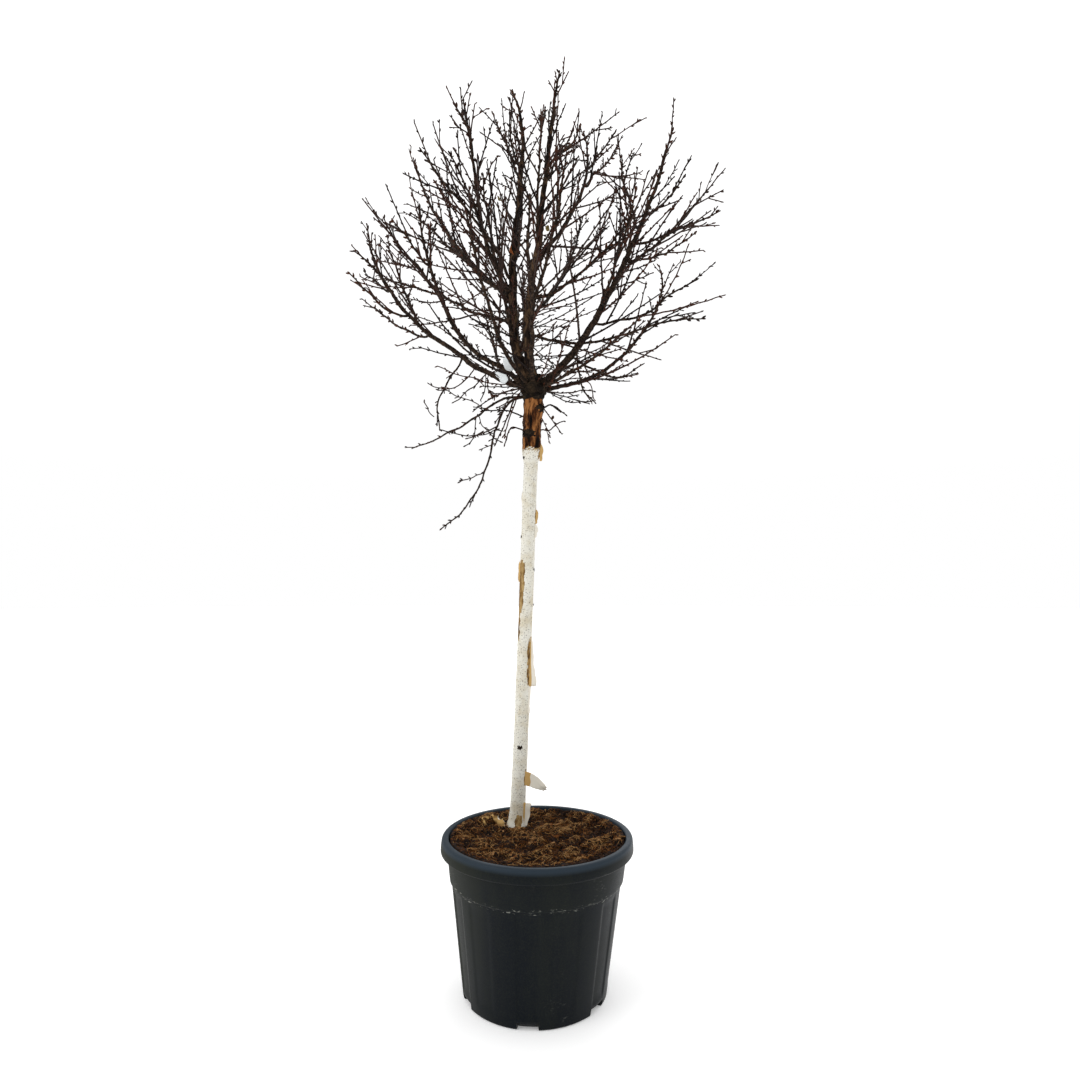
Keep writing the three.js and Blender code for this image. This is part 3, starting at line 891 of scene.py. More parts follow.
@dataclass
class Stem:
    """The white stem with its peeling paper, the brown graft above it and the black knobbly head."""

    limb: Limb
    ring_step: float = 1.8 * MM
    sides: int = 104
    graft_height: float = 0.872
    head_height: float = 0.984
    scurf: float = 18 * MM  # how far tan scurf reaches down from the graft
    scurf_fade: float = 12 * MM  # over which it thins out
    scale: float = 17 * MM  # radius at which its patterns are laid out
    paper: float = 0.35 * MM  # thickness of a layer of peeling bark
    paper_columns: int = 16
    paper_rows: int = 20
    flaps: tuple[Flap, ...] = (
        Flap(0.436, 0.114, -36, 0.004, 5.2, 34, 0.0, 1.0, 0.34),
        Flap(0.322, 0.062, -40, 0.007, 0.9, 20),
        Flap(0.127, 0.032, -42, 0.052, 1.0, 44, 0.026, 0.2, 0.26),
        Flap(0.056, 0.056, -48, 0.020, 0.62, 42, 0.0, 0.9, 0.3),
        Flap(0.730, 0.034, -20, 0.007, 0.7, 46, 0.003, 0.6, 1.0),
        Flap(0.696, 0.032, -26, 0.009, 0.6, 40, 0.004, 0.5),
        Flap(0.882, 0.040, -22, 0.010, 0.8, 42, 0.004, 0.6, 1.0),
        Flap(0.612, 0.050, 176, 0.006, 0.8, 130, 0.002, 0.7, 1.0),
        Flap(0.420, 0.060, 110, 0.018, 0.7, 70, 0.004, 0.5, 0.3),
        Flap(0.240, 0.044, 60, 0.016, 0.6, 64, 0.006, 0.4, 0.4),
        Flap(0.560, 0.050, 80, 0.014, 0.8, 50, 0.003, 0.7, 0.3),
        Flap(0.780, 0.046, 140, 0.009, 0.7, 66, 0.005, 0.5, 0.5),
        Flap(0.150, 0.030, 110, 0.022, 0.9, 76, 0.016, 0.3, 0.3),
    )
    # Rolls of bark that have dropped beside the foot of the stem, each with the ends of its axis in mm.
    fallen: tuple[tuple[Flap, tuple, tuple], ...] = (
        (Flap(0.0, 0.0, 200, 0.034, 0.8, 60, 0.0, 0.85, 0.9, 200), (-97, 123, 305), (-104, 128, 321)),
        (Flap(0.0, 0.0, 140, 0.036, 0.8, 60, 0.0, 0.85, 1.0, 190), (-107, 105, 305), (-114, 110, 321)),
        (Flap(0.0, 0.0, 260, 0.030, 0.8, 60, 0.0, 0.85, 0.8, 210), (-89, 93, 303), (-96, 98, 319)),
    )
    peeled: tuple[Peeled, ...] = (
        Peeled(0.491, 0.613, 216, 34),
        Peeled(0.425, 0.495, 205, 13),
        Peeled(0.325, 0.432, -50, 13),
        Peeled(0.0, 0.030, -82, 22),
        Peeled(0.700, 0.742, -14, 14),
        Peeled(0.846, 0.890, -20, 16),
        Peeled(0.094, 0.132, -34, 14),
        Peeled(0.360, 0.430, 96, 24),
        Peeled(0.735, 0.790, 126, 22),
        Peeled(0.200, 0.250, 46, 20),
    )
    knots: tuple[Knot, ...] = (
        Knot(0.183, -98, 5.6 * MM),
        Knot(0.590, -22, 4.6 * MM, 0.5),
        Knot(0.509, -6, 4.0 * MM, 0.7),
        Knot(0.849, -158, 4.4 * MM, 0.2),
        Knot(0.665, -170, 4.6 * MM, 0.6),
        Knot(0.964, -30, 12.5 * MM, 0.6),
        Knot(0.903, -112, 11.5 * MM, 0.5),
        Knot(0.930, 150, 8.0 * MM, 0.6),
        Knot(0.300, 75, 4.6 * MM),
        Knot(0.470, 120, 4.0 * MM),
        Knot(0.730, 60, 4.4 * MM),
    )

    def build(self) -> None:
        """Builds the stem's bark and the peeling paper."""
        points, radii, along = resample(self.limb.points, self.limb.radii, self.ring_step)
        spokes = spokes_round(points, self.sides)
        bearing = np.arctan2(spokes[..., 1], spokes[..., 0])
        height = np.repeat(along[:, None], self.sides, axis=1)
        places = np.stack([self.scale * np.cos(bearing), self.scale * np.sin(bearing), height], -1)
        corners, quads, triangles = tube(points, radii, self.sides, self.relief(places, bearing, height))
        ends = [[0, 0, 0], [0, 0, along[-1]]]
        flat_places = np.concatenate([places.reshape(-1, 3), ends])
        layers = self.layers(places, bearing, height).reshape(-1)
        shell = Shell()
        shell.add(corners, quads, None, layers[quads[:, 0]], flat_places)
        shell.add(corners, None, triangles, Layer.BLACK.value, flat_places)
        finishes = [WhiteBark().make(), GRAFT_BARK.make(), HEAD_BARK.make(), INNER_BARK.make()]
        bark = shell.build("stem_bark", finishes)
        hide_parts("stem")
        self.build_flaps(points, radii, along)

    def knot_gap(self, knot: Knot, bearing: Array, height: Array) -> Array:
        """Distance of ring points from a knot, in its radii."""
        round_gap = np.angle(np.exp(1j * (bearing - math.radians(knot.bearing)))) * self.scale
        return np.hypot(round_gap * 0.8, height - knot.height) / knot.radius

    def relief(self, places: Array, bearing: Array, height: Array) -> Array:
        """How far the bark stands out from the stem at each ring point."""
        # Slow waves and fine cross-ridges of the white bark.
        out = 0.35 * MM * Grain(60 * MM, 11, (1, 1, 1.8)).at(places)
        out += 0.14 * MM * Grain(7 * MM, 12, (2.2, 2.2, 0.6)).at(places)
        for knot in self.knots:
            gap = self.knot_gap(knot, bearing, height)
            lip = np.exp(-((gap / 0.95) ** 2)) * knot.stand - np.exp(-((gap / 0.4) ** 2)) * knot.stand * 0.5
            out += knot.radius * lip * (1.0 + 0.25 * Grain(5 * MM, 13).at(places))
        # Cracked plates of the graft's bark.
        graft = 1.0 / (1.0 + np.exp(-(height - self.graft_height) / (3 * MM)))
        cracks = np.abs(Grain(12 * MM, 21, (1, 1, 2.6)).at(places))
        lumps = Grain(26 * MM, 22, (1, 1, 0.9)).at(places)
        out += graft * (1.1 * MM * lumps - 1.8 * MM * np.exp(-cracks * 6.0) + 0.5 * MM)
        # Burrs of the head.
        head = 1.0 / (1.0 + np.exp(-(height - self.head_height) / (4 * MM)))
        burrs = Grain(17 * MM, 31).at(places)
        out += head * (3.4 * MM * burrs + 1.8 * MM * Grain(7 * MM, 32).at(places) - 2.0 * MM)
        return out

    def layers(self, places: Array, bearing: Array, height: Array) -> Array:
        """The material slot of each ring point."""
        edge = 3 * MM * Grain(26 * MM, 41).at(places * [1, 1, 0]) + 2.2 * MM * Grain(5 * MM, 42).at(places)
        layer = np.full(height.shape, Layer.WHITE.value)
        ragged = Grain(12 * MM, 43, (0.6, 0.6, 2.0)).at(places)
        for patch in self.peeled:
            turn = np.degrees(np.abs(np.angle(np.exp(1j * (bearing - math.radians(patch.bearing))))))
            middle, half = (patch.low + patch.high) / 2, (patch.high - patch.low) / 2
            part = np.abs(height - middle) / half
            inside = turn < patch.spread * (1.0 - 0.5 * part**3) + 5.0 * ragged
            layer = np.where(inside & (part < 1.0), Layer.TAN.value, layer)
        below = self.graft_height - height
        scurf = Grain(4 * MM, 45).at(places) > below / self.scurf_fade - 0.2
        layer = np.where(scurf & (below < self.scurf), Layer.TAN.value, layer)
        layer = np.where(height + edge > self.graft_height, Layer.GRAFT.value, layer)
        rough = 0.16 * Grain(4 * MM, 44).at(places)
        for knot in self.knots:
            black = self.knot_gap(knot, bearing, height) + rough < 0.85
            layer = np.where(black, Layer.BLACK.value, layer)
        return np.where(height + edge * 0.7 > self.head_height, Layer.BLACK.value, layer)

    def build_flaps(self, points: Array, radii: Array, along: Array) -> None:
        """Builds the peeling paper, and the rolls of it that have dropped beside the stem."""
        shell = Shell()
        for number, flap in enumerate(self.flaps):
            top = np.array([np.interp(flap.height, along, points[:, i]) for i in range(3)])
            foot = np.array([np.interp(flap.height - flap.drop, along, points[:, i]) for i in range(3)])
            radius = float(np.interp(flap.height - flap.drop / 2, along, radii)) + 0.2 * MM
            self.add_sheet(shell, flap, top, foot, radius, number)
        for number, (curl, low, high) in enumerate(self.fallen):
            self.add_sheet(shell, curl, np.array(high) * MM, np.array(low) * MM, 0.0, 40 + number)
        flaps = shell.build("peeling_bark", [PAPER_OUTSIDE.make(), PAPER_INSIDE.make()])

    def add_sheet(
        self,
        shell: Shell,
        flap: Flap,
        top: Array,
        foot: Array,
        radius: float,
        number: int,
    ) -> None:
        """Adds one thin closed sheet of bark paper.

        Args:
            shell: Where it is added.
            flap: Its form.
            top: The stem's axis at its upper end.
            foot: The stem's axis at its lower end.
            radius: Distance of its holding edge from the axis.
            number: Sets its ripples.
        """
        columns, rows = self.paper_columns, self.paper_rows
        u, v = np.meshgrid(np.linspace(0, 1, columns), np.linspace(0, 1, rows))
        start = math.radians(flap.bearing)
        out = np.array([math.cos(start), math.sin(start), 0.0])
        side = np.array([-out[1], out[0], 0.0])
        width = flap.width * (1 + (flap.taper - 1) * v) * (0.93 + 0.07 * np.sin(v * 9 + number))
        turn = math.radians(90 - flap.curl) + u * math.radians(24 * math.sin(number + 1.0) + flap.roll)
        forward = side * np.sin(turn)[..., None] + out * np.cos(turn)[..., None]
        steps = forward * (width / (columns - 1))[..., None]
        reach = np.cumsum(steps, axis=1) - steps
        sheet = top + (foot - top) * v[..., None] + out * radius + reach
        shrink = 1.0 - (1.0 - flap.point) * u**2.6
        sheet[..., 2] += (0.5 - v) * flap.drop * (shrink - 1.0) - flap.sag * u**1.5
        normal = np.cross(forward, UP)
        ripple = 1.1 * MM * Grain(20 * MM, 600 + number).at(sheet) * u
        sheet = sheet + normal * ripple[..., None]
        sheet[..., 2] += 0.8 * MM * Grain(6 * MM, 650 + number).at(sheet) * u
        corners, quads = closed_sheet(sheet, sheet + normal * self.paper)
        # The paper's slots are 0 for its cream outside and 1 for its tan inside, which its edge shows too.
        tan = (np.arange(columns - 1) + 0.5) / (columns - 1) < flap.tan_part
        faces = np.tile(tan.astype(int), 2 * (rows - 1))
        slots = np.concatenate([faces, np.ones(len(quads) - len(faces), int)])
        shell.add(corners, quads, None, slots)


# Each bark's groove colour holds painted shade and its ridge colour a painted highlight.
GRAFT_BARK = Bark("birch_bark_graft", "#080301", "#45250f", "#966337", 4.5, 5.0, 0.75, 1.0, 0.10)
HEAD_BARK = Bark("birch_bark_head", "#070504", "#19130e", "#352a1d", 6.0, 1.0, 0.8, 1.0)
INNER_BARK = Bark("birch_bark_inner", "#4a3318", "#86693f", "#ab9163", 5.0, 2.0, 0.7, 0.5)
LEADER_BARK = Bark("birch_bark_leader", "#080402", "#1f150e", "#54402d", 6.0, 2.2, 0.72, 0.8, 0.13)
BOUGH_BARK = Bark("birch_bark_bough", "#0c0805", "#241a13", "#443529", 3.5, 0.8, 0.62, 0.5)
PAPER_OUTSIDE = PlainGrowth("birch_paper_cream", "#dfd9cb", 0.6, 2.0)
PAPER_INSIDE = PlainGrowth("birch_paper_tan", "#bd9a62", 0.65, 2.0)


# ---------------------------------------------------------------- boughs


class Side(Enum):
    """The part of the crown that a limb or its twigs are joined into."""

    LEFT = "left"
    RIGHT = "right"
    FRONT = "front"
    BACK = "back"


def side_of(point: Array, middle: Array) -> Side:
    """The side of the crown that a point is on."""
    x, y = point[0] - middle[0], point[1] - middle[1]
    if abs(x) > abs(y):
        return Side.RIGHT if x > 0 else Side.LEFT
    return Side.BACK if y > 0 else Side.FRONT


@dataclass
class Boughs:
    """The leaders and boughs, with swollen knuckles where twigs leave and a collar at each fork."""

    skeleton: Skeleton
    ring_step: float = 3.0 * MM
    stout: float = 8.0 * MM  # limbs with a base radius over this have more facets
    stout_sides: int = 20
    slim_sides: int = 12
    knuckle_gap: float = 24 * MM
    first_knuckle: float = 30 * MM  # its distance from the limb's foot
    fixed: float = 40 * MM  # length at each end over which a limb's own bends fade out
    slimness: float = 0.86  # girth of a bough's wood against its solid, as relief and buds stand out

    def build(self) -> list[tuple[Limb, Array, Array]]:
        """Builds the boughs.

        Returns:
            Each limb with the points and radii of its finished centreline.
        """
        finished = []
        shells: dict[str, tuple[Shell, list[str]]] = {}
        for number, limb in enumerate(self.skeleton.limbs):
            rng = np.random.default_rng(1000 + number)
            points, radii, along = resample(limb.points, limb.radii, self.ring_step)
            points, radii = self.soften(points, radii, along, rng)
            if not limb.name.startswith("leader"):
                radii = radii * self.slimness
            stout = limb.radii.max() > self.stout
            sides = self.stout_sides if stout else self.slim_sides
            relief = self.relief(points, radii, along, sides, rng)
            corners, quads, triangles = tube(points, radii, sides, relief)
            places = ring_places(along, radii, sides, 1.7 * number)
            group = "leaders" if limb.name.startswith("leader") else self.group(limb)
            shell, names = shells.setdefault(group, (Shell(), []))
            shell.add(corners, quads, triangles, 0, places)
            names.append(limb.name)
            finished.append((limb, points, radii))
        for group, (shell, names) in shells.items():
            material = LEADER_BARK if group == "leaders" else BOUGH_BARK
            made = bpy.data.materials.get(material.name) or material.make()
            piece = shell.build(f"{group}_bark", [made])
            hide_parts(*names)
        return finished

    def group(self, limb: Limb) -> str:
        """The joined piece that a limb goes in."""
        if limb.name.startswith("bough"):
            return "boughs"
        return "side_boughs_" + side_of(limb.points[-1], self.skeleton.stem.points[-1]).value

    def soften(
        self,
        points: Array,
        radii: Array,
        along: Array,
        rng: np.random.Generator,
    ) -> tuple[Array, Array]:
        """Gives a limb small natural bends and a swollen foot."""
        length = along[-1]
        ease = np.minimum(along / self.fixed, 1.0) * np.minimum((length - along) / self.fixed, 1.0)
        ease = np.maximum(ease, 0.0)[:, None]
        bends = np.stack([Grain(90 * MM, int(rng.integers(1e6))).at(points) for _ in range(3)], -1)
        zigzag = np.stack([Grain(34 * MM, int(rng.integers(1e6))).at(points) for _ in range(3)], -1)
        points = points + ease * (bends * 1.6 * MM + zigzag * 0.7 * MM)
        foot = np.exp(-np.maximum(along - radii[0] * 1.6, 0.0) / (radii[0] * 1.6))
        return points, radii * (1.0 + 0.35 * foot)

    def relief(
        self,
        points: Array,
        radii: Array,
        along: Array,
        sides: int,
        rng: np.random.Generator,
    ) -> Array:
        """Bark unevenness and knuckles, for each ring point."""
        angles = np.arange(sides) * TURN / sides
        rings = ring_places(along, radii, sides, float(rng.uniform(0, 50)))
        rings = rings[:-2].reshape(len(points), sides, 3)
        rough = radii[:, None] * 0.05 * Grain(9 * MM, int(rng.integers(1e6)), (1, 1, 1.8)).at(rings)
        place, turn = self.first_knuckle, rng.uniform(0, TURN)
        while place < along[-1] - 4 * MM:
            local = float(np.interp(place, along, radii))
            size = local * rng.uniform(0.1, 0.28) + 0.25 * MM
            width = (2.2 + 0.25 * local / MM) * MM
            bump = size * np.exp(-(((along - place) / width) ** 2))
            rough += bump[:, None] * (0.45 + 0.55 * np.cos(angles - turn))[None, :]
            place += self.knuckle_gap * rng.uniform(0.5, 1.4)
            turn += GOLDEN_ANGLE
        return rough


# ---------------------------------------------------------------- twigs and buds


@dataclass(frozen=True)
class Habit:
    """How the shoots of one order grow."""

    gap: float  # between shoots along their parent
    longest: float  # at the parent's foot
    shortest: float  # at the parent's tip
    fork: tuple[float, float]  # least and greatest angle to the parent, degrees
    spread: float  # how much wider the angle is at the parent's foot, as a part of it
    lift: float  # how strongly a shoot turns up
    bare: float  # part of the parent's foot without shoots


@dataclass
class Shoot:
    """One twig: its centreline, radii and the spray that it belongs to."""

    points: Array
    radii: Array
    spray: int


@dataclass(frozen=True)
class LaidShoot:
    """A shoot with a set course: its diameter and the points that it passes, in millimetres."""

    girth_mm: float
    course_mm: tuple[tuple[float, float, float], ...]


# Shoots round the head, the graft and the lowest bough, where they stand apart and each one shows.
LAID_SHOOTS = (
    LaidShoot(2.8, ((-236, 99, 1227), (-216, 94, 1220), (-186, 87, 1212), (-149, 77, 1207), (-115, 69, 1210),
                    (-97, 64, 1218), (-81, 60, 1215))),
    LaidShoot(2.4, ((-247, 95, 1257), (-257, 86, 1265), (-262, 77, 1276), (-267, 70, 1285))),
    LaidShoot(4.6, ((-20, 52, 1318), (-40, 50, 1313), (-70, 26, 1299), (-96, 2, 1281), (-110, -10, 1272))),
    LaidShoot(2.6, ((-121, 84, 1270), (-158, 91, 1295), (-183, 95, 1304), (-198, 98, 1310),
                    (-218, 102, 1323), (-233, 104, 1329), (-246, 106, 1330), (-264, 110, 1343))),
    LaidShoot(2.4, ((-143, 92, 1262), (-147, 89, 1246), (-148, 86, 1218), (-151, 84, 1205), (-156, 83, 1195),
                    (-173, 80, 1182))),
    LaidShoot(2.4, ((-140, 90, 1260), (-133, 83, 1234), (-115, 74, 1215), (-100, 67, 1199),
                    (-83, 60, 1187))),
    LaidShoot(3.2, ((-145, 70, 1372), (-167, 55, 1337), (-182, 44, 1320), (-197, 34, 1309), (-213, 25, 1306),
                    (-221, 20, 1307))),
    LaidShoot(3.0, ((-120, 67, 1357), (-144, 48, 1320), (-164, 33, 1301), (-175, 23, 1284),
                    (-192, 10, 1268))),
    LaidShoot(4.4, ((-16, 54, 1244), (-32, 52, 1247), (-61, 39, 1255), (-79, 31, 1256), (-111, 17, 1252),
                    (-127, 10, 1247))),
    LaidShoot(4.0, ((-16, 54, 1203), (-29, 50, 1210), (-42, 44, 1216), (-58, 38, 1218), (-67, 33, 1206),
                    (-72, 25, 1185), (-75, 20, 1170))),
    LaidShoot(3.0, ((-22, 48, 1312), (-42, 40, 1298), (-51, 28, 1271), (-62, 15, 1242), (-70, 0, 1205),
                    (-74, -10, 1182))),
    LaidShoot(3.0, ((-30, 48, 1314), (-52, 45, 1302), (-68, 38, 1281), (-81, 29, 1252), (-97, 20, 1223))),
    LaidShoot(2.4, ((-122, 68, 1358), (-123, 50, 1306), (-132, 40, 1282))),
    LaidShoot(2.6, ((-116, 67, 1355), (-111, 40, 1301), (-98, 30, 1288))),
    LaidShoot(3.0, ((-25, 52, 1328), (-45, 55, 1332), (-83, 50, 1323), (-118, 45, 1326), (-153, 41, 1337),
                    (-181, 37, 1340), (-205, 34, 1349), (-230, 30, 1359))),
    LaidShoot(2.4, ((-121, 28, 1112), (-145, 16, 1099), (-163, 5, 1091), (-172, 0, 1088))),
    LaidShoot(4.8, ((0, 52, 1258), (12, 50, 1265), (29, 34, 1269), (45, 19, 1259), (51, 12, 1252),
                    (65, -5, 1234))),
    LaidShoot(3.6, ((0, 54, 1212), (10, 52, 1214), (24, 44, 1211), (41, 33, 1220), (47, 28, 1224),
                    (61, 20, 1228))),
    LaidShoot(3.0, ((0, 52, 1255), (12, 50, 1238), (24, 35, 1201), (29, 25, 1178))),
    LaidShoot(3.4, ((5, 50, 1308), (15, 45, 1305), (45, 26, 1296), (85, 0, 1291), (109, -17, 1290),
                    (128, -30, 1281))),
    LaidShoot(3.2, ((5, 50, 1314), (15, 48, 1311), (43, 35, 1289), (63, 25, 1276), (123, 0, 1268))),
    LaidShoot(3.2, ((5, 48, 1318), (20, 40, 1319), (51, 14, 1326), (80, -9, 1331), (112, -35, 1327),
                    (143, -60, 1322))),
    LaidShoot(3.2, ((5, 52, 1318), (20, 55, 1320), (58, 70, 1336), (96, 84, 1348), (126, 96, 1337),
                    (136, 110, 1302))),
    LaidShoot(3.0, ((8, 50, 1320), (24, 45, 1324), (56, 27, 1347), (97, 5, 1370), (132, -13, 1383),
                    (166, -30, 1395), (225, -60, 1411))),
)


@dataclass
class Twigs:
    """Twigs in two orders with spurs and buds, grown by a seeded rule, and the laid shoots."""

    finished: list[tuple[Limb, Array, Array]]
    stem: Limb
    step: float = 6.5 * MM
    bend_gap: float = 17 * MM  # a birch shoot bends a little at each bud
    bend: float = 3.6  # degrees
    steering: float = 3.2  # how fast a shoot turns to its lift and sway, for each metre
    sway: float = 0.35
    tip_radius: float = 1.3 * MM
    first: Habit = Habit(25 * MM, 340 * MM, 60 * MM, (13, 27), 0.85, 0.7, 0.08)
    second: Habit = Habit(92 * MM, 120 * MM, 30 * MM, (20, 38), 0.3, 0.4, 0.2)
    spur_gap: float = 26 * MM
    spur_length: tuple[float, float] = (5 * MM, 12 * MM)
    bud_gap: tuple[float, float] = (13 * MM, 22 * MM)
    limb_bud_scale: float = 1.45  # buds on the limbs against those on the shoots
    girth: float = 2.9 * MM  # of a short shoot at the foot, where its parent is stout enough
    girth_growth: float = 0.011  # added for each metre of a shoot's length
    shortest: float = 9 * MM  # a shoot that would be shorter doesn't grow
    tangled: int = 30
    tangle_height: tuple[float, float] = (1.36, 1.52)  # where on the leaders the tangle starts
    tangle_mm: tuple[float, float] = (110, 260)  # least and greatest length
    head_twigs: int = 11
    head_zone: tuple[float, float] = (0.985, 1.035)  # along the stem
    head_twig_mm: tuple[float, float] = (50, 170)  # least and greatest length
    laid_taper: float = 0.55  # of a laid shoot's tip against its foot
    bud_length: tuple[float, float] = (6.0 * MM, 9.0 * MM)
    bud_radius: tuple[float, float] = (1.4 * MM, 2.0 * MM)
    bare_wood: float = 5.0 * MM  # limbs thicker than this carry no buds or spurs
    drooping: tuple[str, ...] = ("shoot_", "left_low_hanger", "right_hanger", "right_low_shoot")
    low: tuple[str, ...] = ("bough_left_low", "left_low_under", "left_fore_low", "left_rear_low")
    margin: float = 3 * MM
    seed: int = 77
    sprays: int = 4
    shoots: list[Shoot] = field(default_factory=list)
    spurs: list[Shoot] = field(default_factory=list)

    def build(self) -> None:
        """Grows all the shoots and builds the twig and bud pieces."""
        for number, (limb, points, radii) in enumerate(self.finished):
            rng = np.random.default_rng(self.seed + number)
            vigour = 0.4 if limb.name.startswith(self.drooping) else 0.7 if limb.name in self.low else 1.0
            own = self.side_shoots(points, radii, self.first, rng, number, vigour)
            for shoot in own:
                self.shoots.extend(self.twiglets(shoot, rng, 1.0))
            self.shoots.extend(own)
        self.shoots.extend(self.head_shoots())
        self.shoots.extend(self.tangle())
        self.shoots.extend(self.laid_shoots())
        length = sum(float(lengths_along(s.points)[-1]) for s in self.shoots)
        LOG.info("grew %d shoots, %.0f m in all", len(self.shoots), length)
        self.grow_spurs()
        self.build_twigs()
        self.build_buds()

    def grow(
        self,
        start: Array,
        way: Array,
        length: float,
        girth: float,
        lift: float,
        spray: int,
        rng: np.random.Generator,
    ) -> Shoot | None:
        """Grows one shoot.

        Args:
            start: Where it leaves its parent.
            way: Its first direction.
            length: Its length.
            girth: Its diameter at the foot.
            lift: How strongly it turns up.
            spray: The spray that it belongs to.
            rng: Source of the random choices.

        Returns:
            The shoot, or None if it would leave the plant's box at once.
        """
        count = max(3, int(round(length / self.step)) + 1)
        pace = length / (count - 1)
        points = np.empty((count, 3))
        points[0] = start
        side = square_to(way, rng.uniform(0, TURN))
        kink = math.tan(math.radians(self.bend)) * rng.uniform(0.5, 1.2)
        sway = rng.normal(0, 1.0, 3) * self.sway
        low, high = np.array(CAD_BOX[0]) + self.margin, np.array(CAD_BOX[1]) - self.margin
        since, sign = rng.uniform(0, self.bend_gap), 1.0
        for i in range(1, count):
            since += pace
            if since > self.bend_gap:
                since = 0.0
                sign = -sign
                way = way + side * sign * kink * 2.0
            way = unit(way + (UP * lift * (1.0 - abs(way[2])) + sway) * pace * self.steering)
            points[i] = points[i - 1] + way * pace
            if np.any(points[i] < low) or np.any(points[i] > high):
                count = i
                break
        if count < 3:
            return None
        points = points[:count]
        part = np.linspace(0.0, 1.0, count)
        foot = max(girth / 2, self.tip_radius)
        radii = self.tip_radius + (foot - self.tip_radius) * (1 - part) ** 0.8
        return Shoot(points, radii, spray)

    def side_shoots(
        self,
        points: Array,
        radii: Array,
        habit: Habit,
        rng: np.random.Generator,
        spray: int,
        vigour: float,
    ) -> list[Shoot]:
        """Grows the shoots along one parent.

        Args:
            points: The parent's centreline.
            radii: Its radii.
            habit: How its shoots grow.
            rng: Source of the random choices.
            spray: The parent's spray.
            vigour: Scale of the shoots' lengths.

        Returns:
            The new shoots.
        """
        along = lengths_along(points)
        length = along[-1]
        ways = unit(np.gradient(points, axis=0))
        shoots = []
        place = length * habit.bare + habit.gap * rng.uniform(0.2, 1.0)
        turn = rng.uniform(0, TURN)
        while place < length - 5 * MM:
            at = int(np.searchsorted(along, place))
            part = place / length
            reach = habit.longest + (habit.shortest - habit.longest) * part**0.7
            reach = min(reach, length * 0.75) * vigour * rng.uniform(0.45, 1.1)
            angle = math.radians(rng.uniform(*habit.fork)) * (1.0 + habit.spread * (1.0 - part))
            way = ways[at] * math.cos(angle) + square_to(ways[at], turn) * math.sin(angle)
            girth = min(self.girth + reach * self.girth_growth, 1.7 * radii[at])
            if reach > self.shortest:
                own_spray = int(rng.integers(self.sprays)) if habit is self.first else spray
                shoot = self.grow(points[at], way, reach + radii[at], girth, habit.lift, own_spray, rng)
                if shoot is not None:
                    shoots.append(shoot)
            turn += GOLDEN_ANGLE + rng.normal(0, 0.35)
            place += habit.gap * rng.uniform(0.6, 1.4) / self.fullness(points[at])
        return shoots

    def twiglets(self, shoot: Shoot, rng: np.random.Generator, vigour: float) -> list[Shoot]:
        """Grows the second order of shoots along one of the first."""
        return self.side_shoots(shoot.points, shoot.radii, self.second, rng, shoot.spray, vigour)

    def fullness(self, place: Array) -> float:
        """How thickly shoots stand at a place: thinly low down, outside and at the top."""
        off = place - self.stem.points[-1]
        rise = np.clip((off[2] - 0.04) / 0.22, 0.0, 1.0)
        outside = np.clip((np.hypot(off[0], off[1]) - 0.16) / 0.22, 0.0, 1.0)
        top = np.clip((off[2] - 0.42) / 0.3, 0.0, 1.0)
        return float((0.2 + 0.8 * rise) * (1.0 - 0.55 * outside) * (1.0 - 0.55 * top))

    def tangle(self) -> list[Shoot]:
        """Grows the long, wiry shoots that cross each other low in the middle of the crown."""
        rng = np.random.default_rng(self.seed + 902)
        leaders = [points for limb, points, _ in self.finished if limb.name.startswith("leader")]
        shoots = []
        for number in range(self.tangled):
            points = leaders[number % len(leaders)]
            start = points[int(np.argmin(np.abs(points[:, 2] - rng.uniform(*self.tangle_height))))]
            way = heading(math.degrees(number * GOLDEN_ANGLE), rng.uniform(-15, 35))
            length = rng.uniform(*self.tangle_mm) * MM
            lift = rng.uniform(-0.1, 0.8)
            shoot = self.grow(start, way, length, self.girth, lift, number % self.sprays, rng)
            if shoot is not None:
                shoots.append(shoot)
                shoots.extend(self.twiglets(shoot, rng, 0.7))
        return shoots

    def head_shoots(self) -> list[Shoot]:
        """Grows the thin, tangled twigs round the head."""
        rng = np.random.default_rng(self.seed + 900)
        points, radii, along = resample(self.stem.points, self.stem.radii, 4 * MM)
        shoots = []
        for number in range(self.head_twigs):
            at = int(np.searchsorted(along, rng.uniform(*self.head_zone)))
            turn = number * GOLDEN_ANGLE + rng.normal(0, 0.3)
            way = heading(math.degrees(turn), rng.uniform(-25, 35))
            length = rng.uniform(*self.head_twig_mm) * MM
            start = points[at] + way * radii[at] * 0.7
            lift = rng.uniform(-0.7, 0.9)
            shoot = self.grow(start, way, length, 3.0 * MM, lift, number % self.sprays, rng)
            if shoot is not None:
                shoots.append(shoot)
                shoots.extend(self.twiglets(shoot, rng, 0.5))
        return shoots

    def laid_shoots(self) -> list[Shoot]:
        """Lays the shoots that have a set course, and grows a few side shoots on them."""
        rng = np.random.default_rng(self.seed + 901)
        shoots = []
        for number, laid in enumerate(LAID_SHOOTS):
            course = np.array(laid.course_mm) * MM
            foot = laid.girth_mm / 2 * MM
            tip = max(self.tip_radius, foot * self.laid_taper)
            points, radii, _ = resample(course, np.linspace(foot, tip, len(course)), self.step)
            seed = 2000 + 3 * number
            shake = np.stack([Grain(30 * MM, seed + axis).at(points) for axis in range(3)], -1)
            points = points + shake * 0.9 * MM
            shoot = Shoot(points, radii, number % self.sprays)
            shoots.append(shoot)
            shoots.extend(self.twiglets(shoot, rng, 0.35))
        return shoots

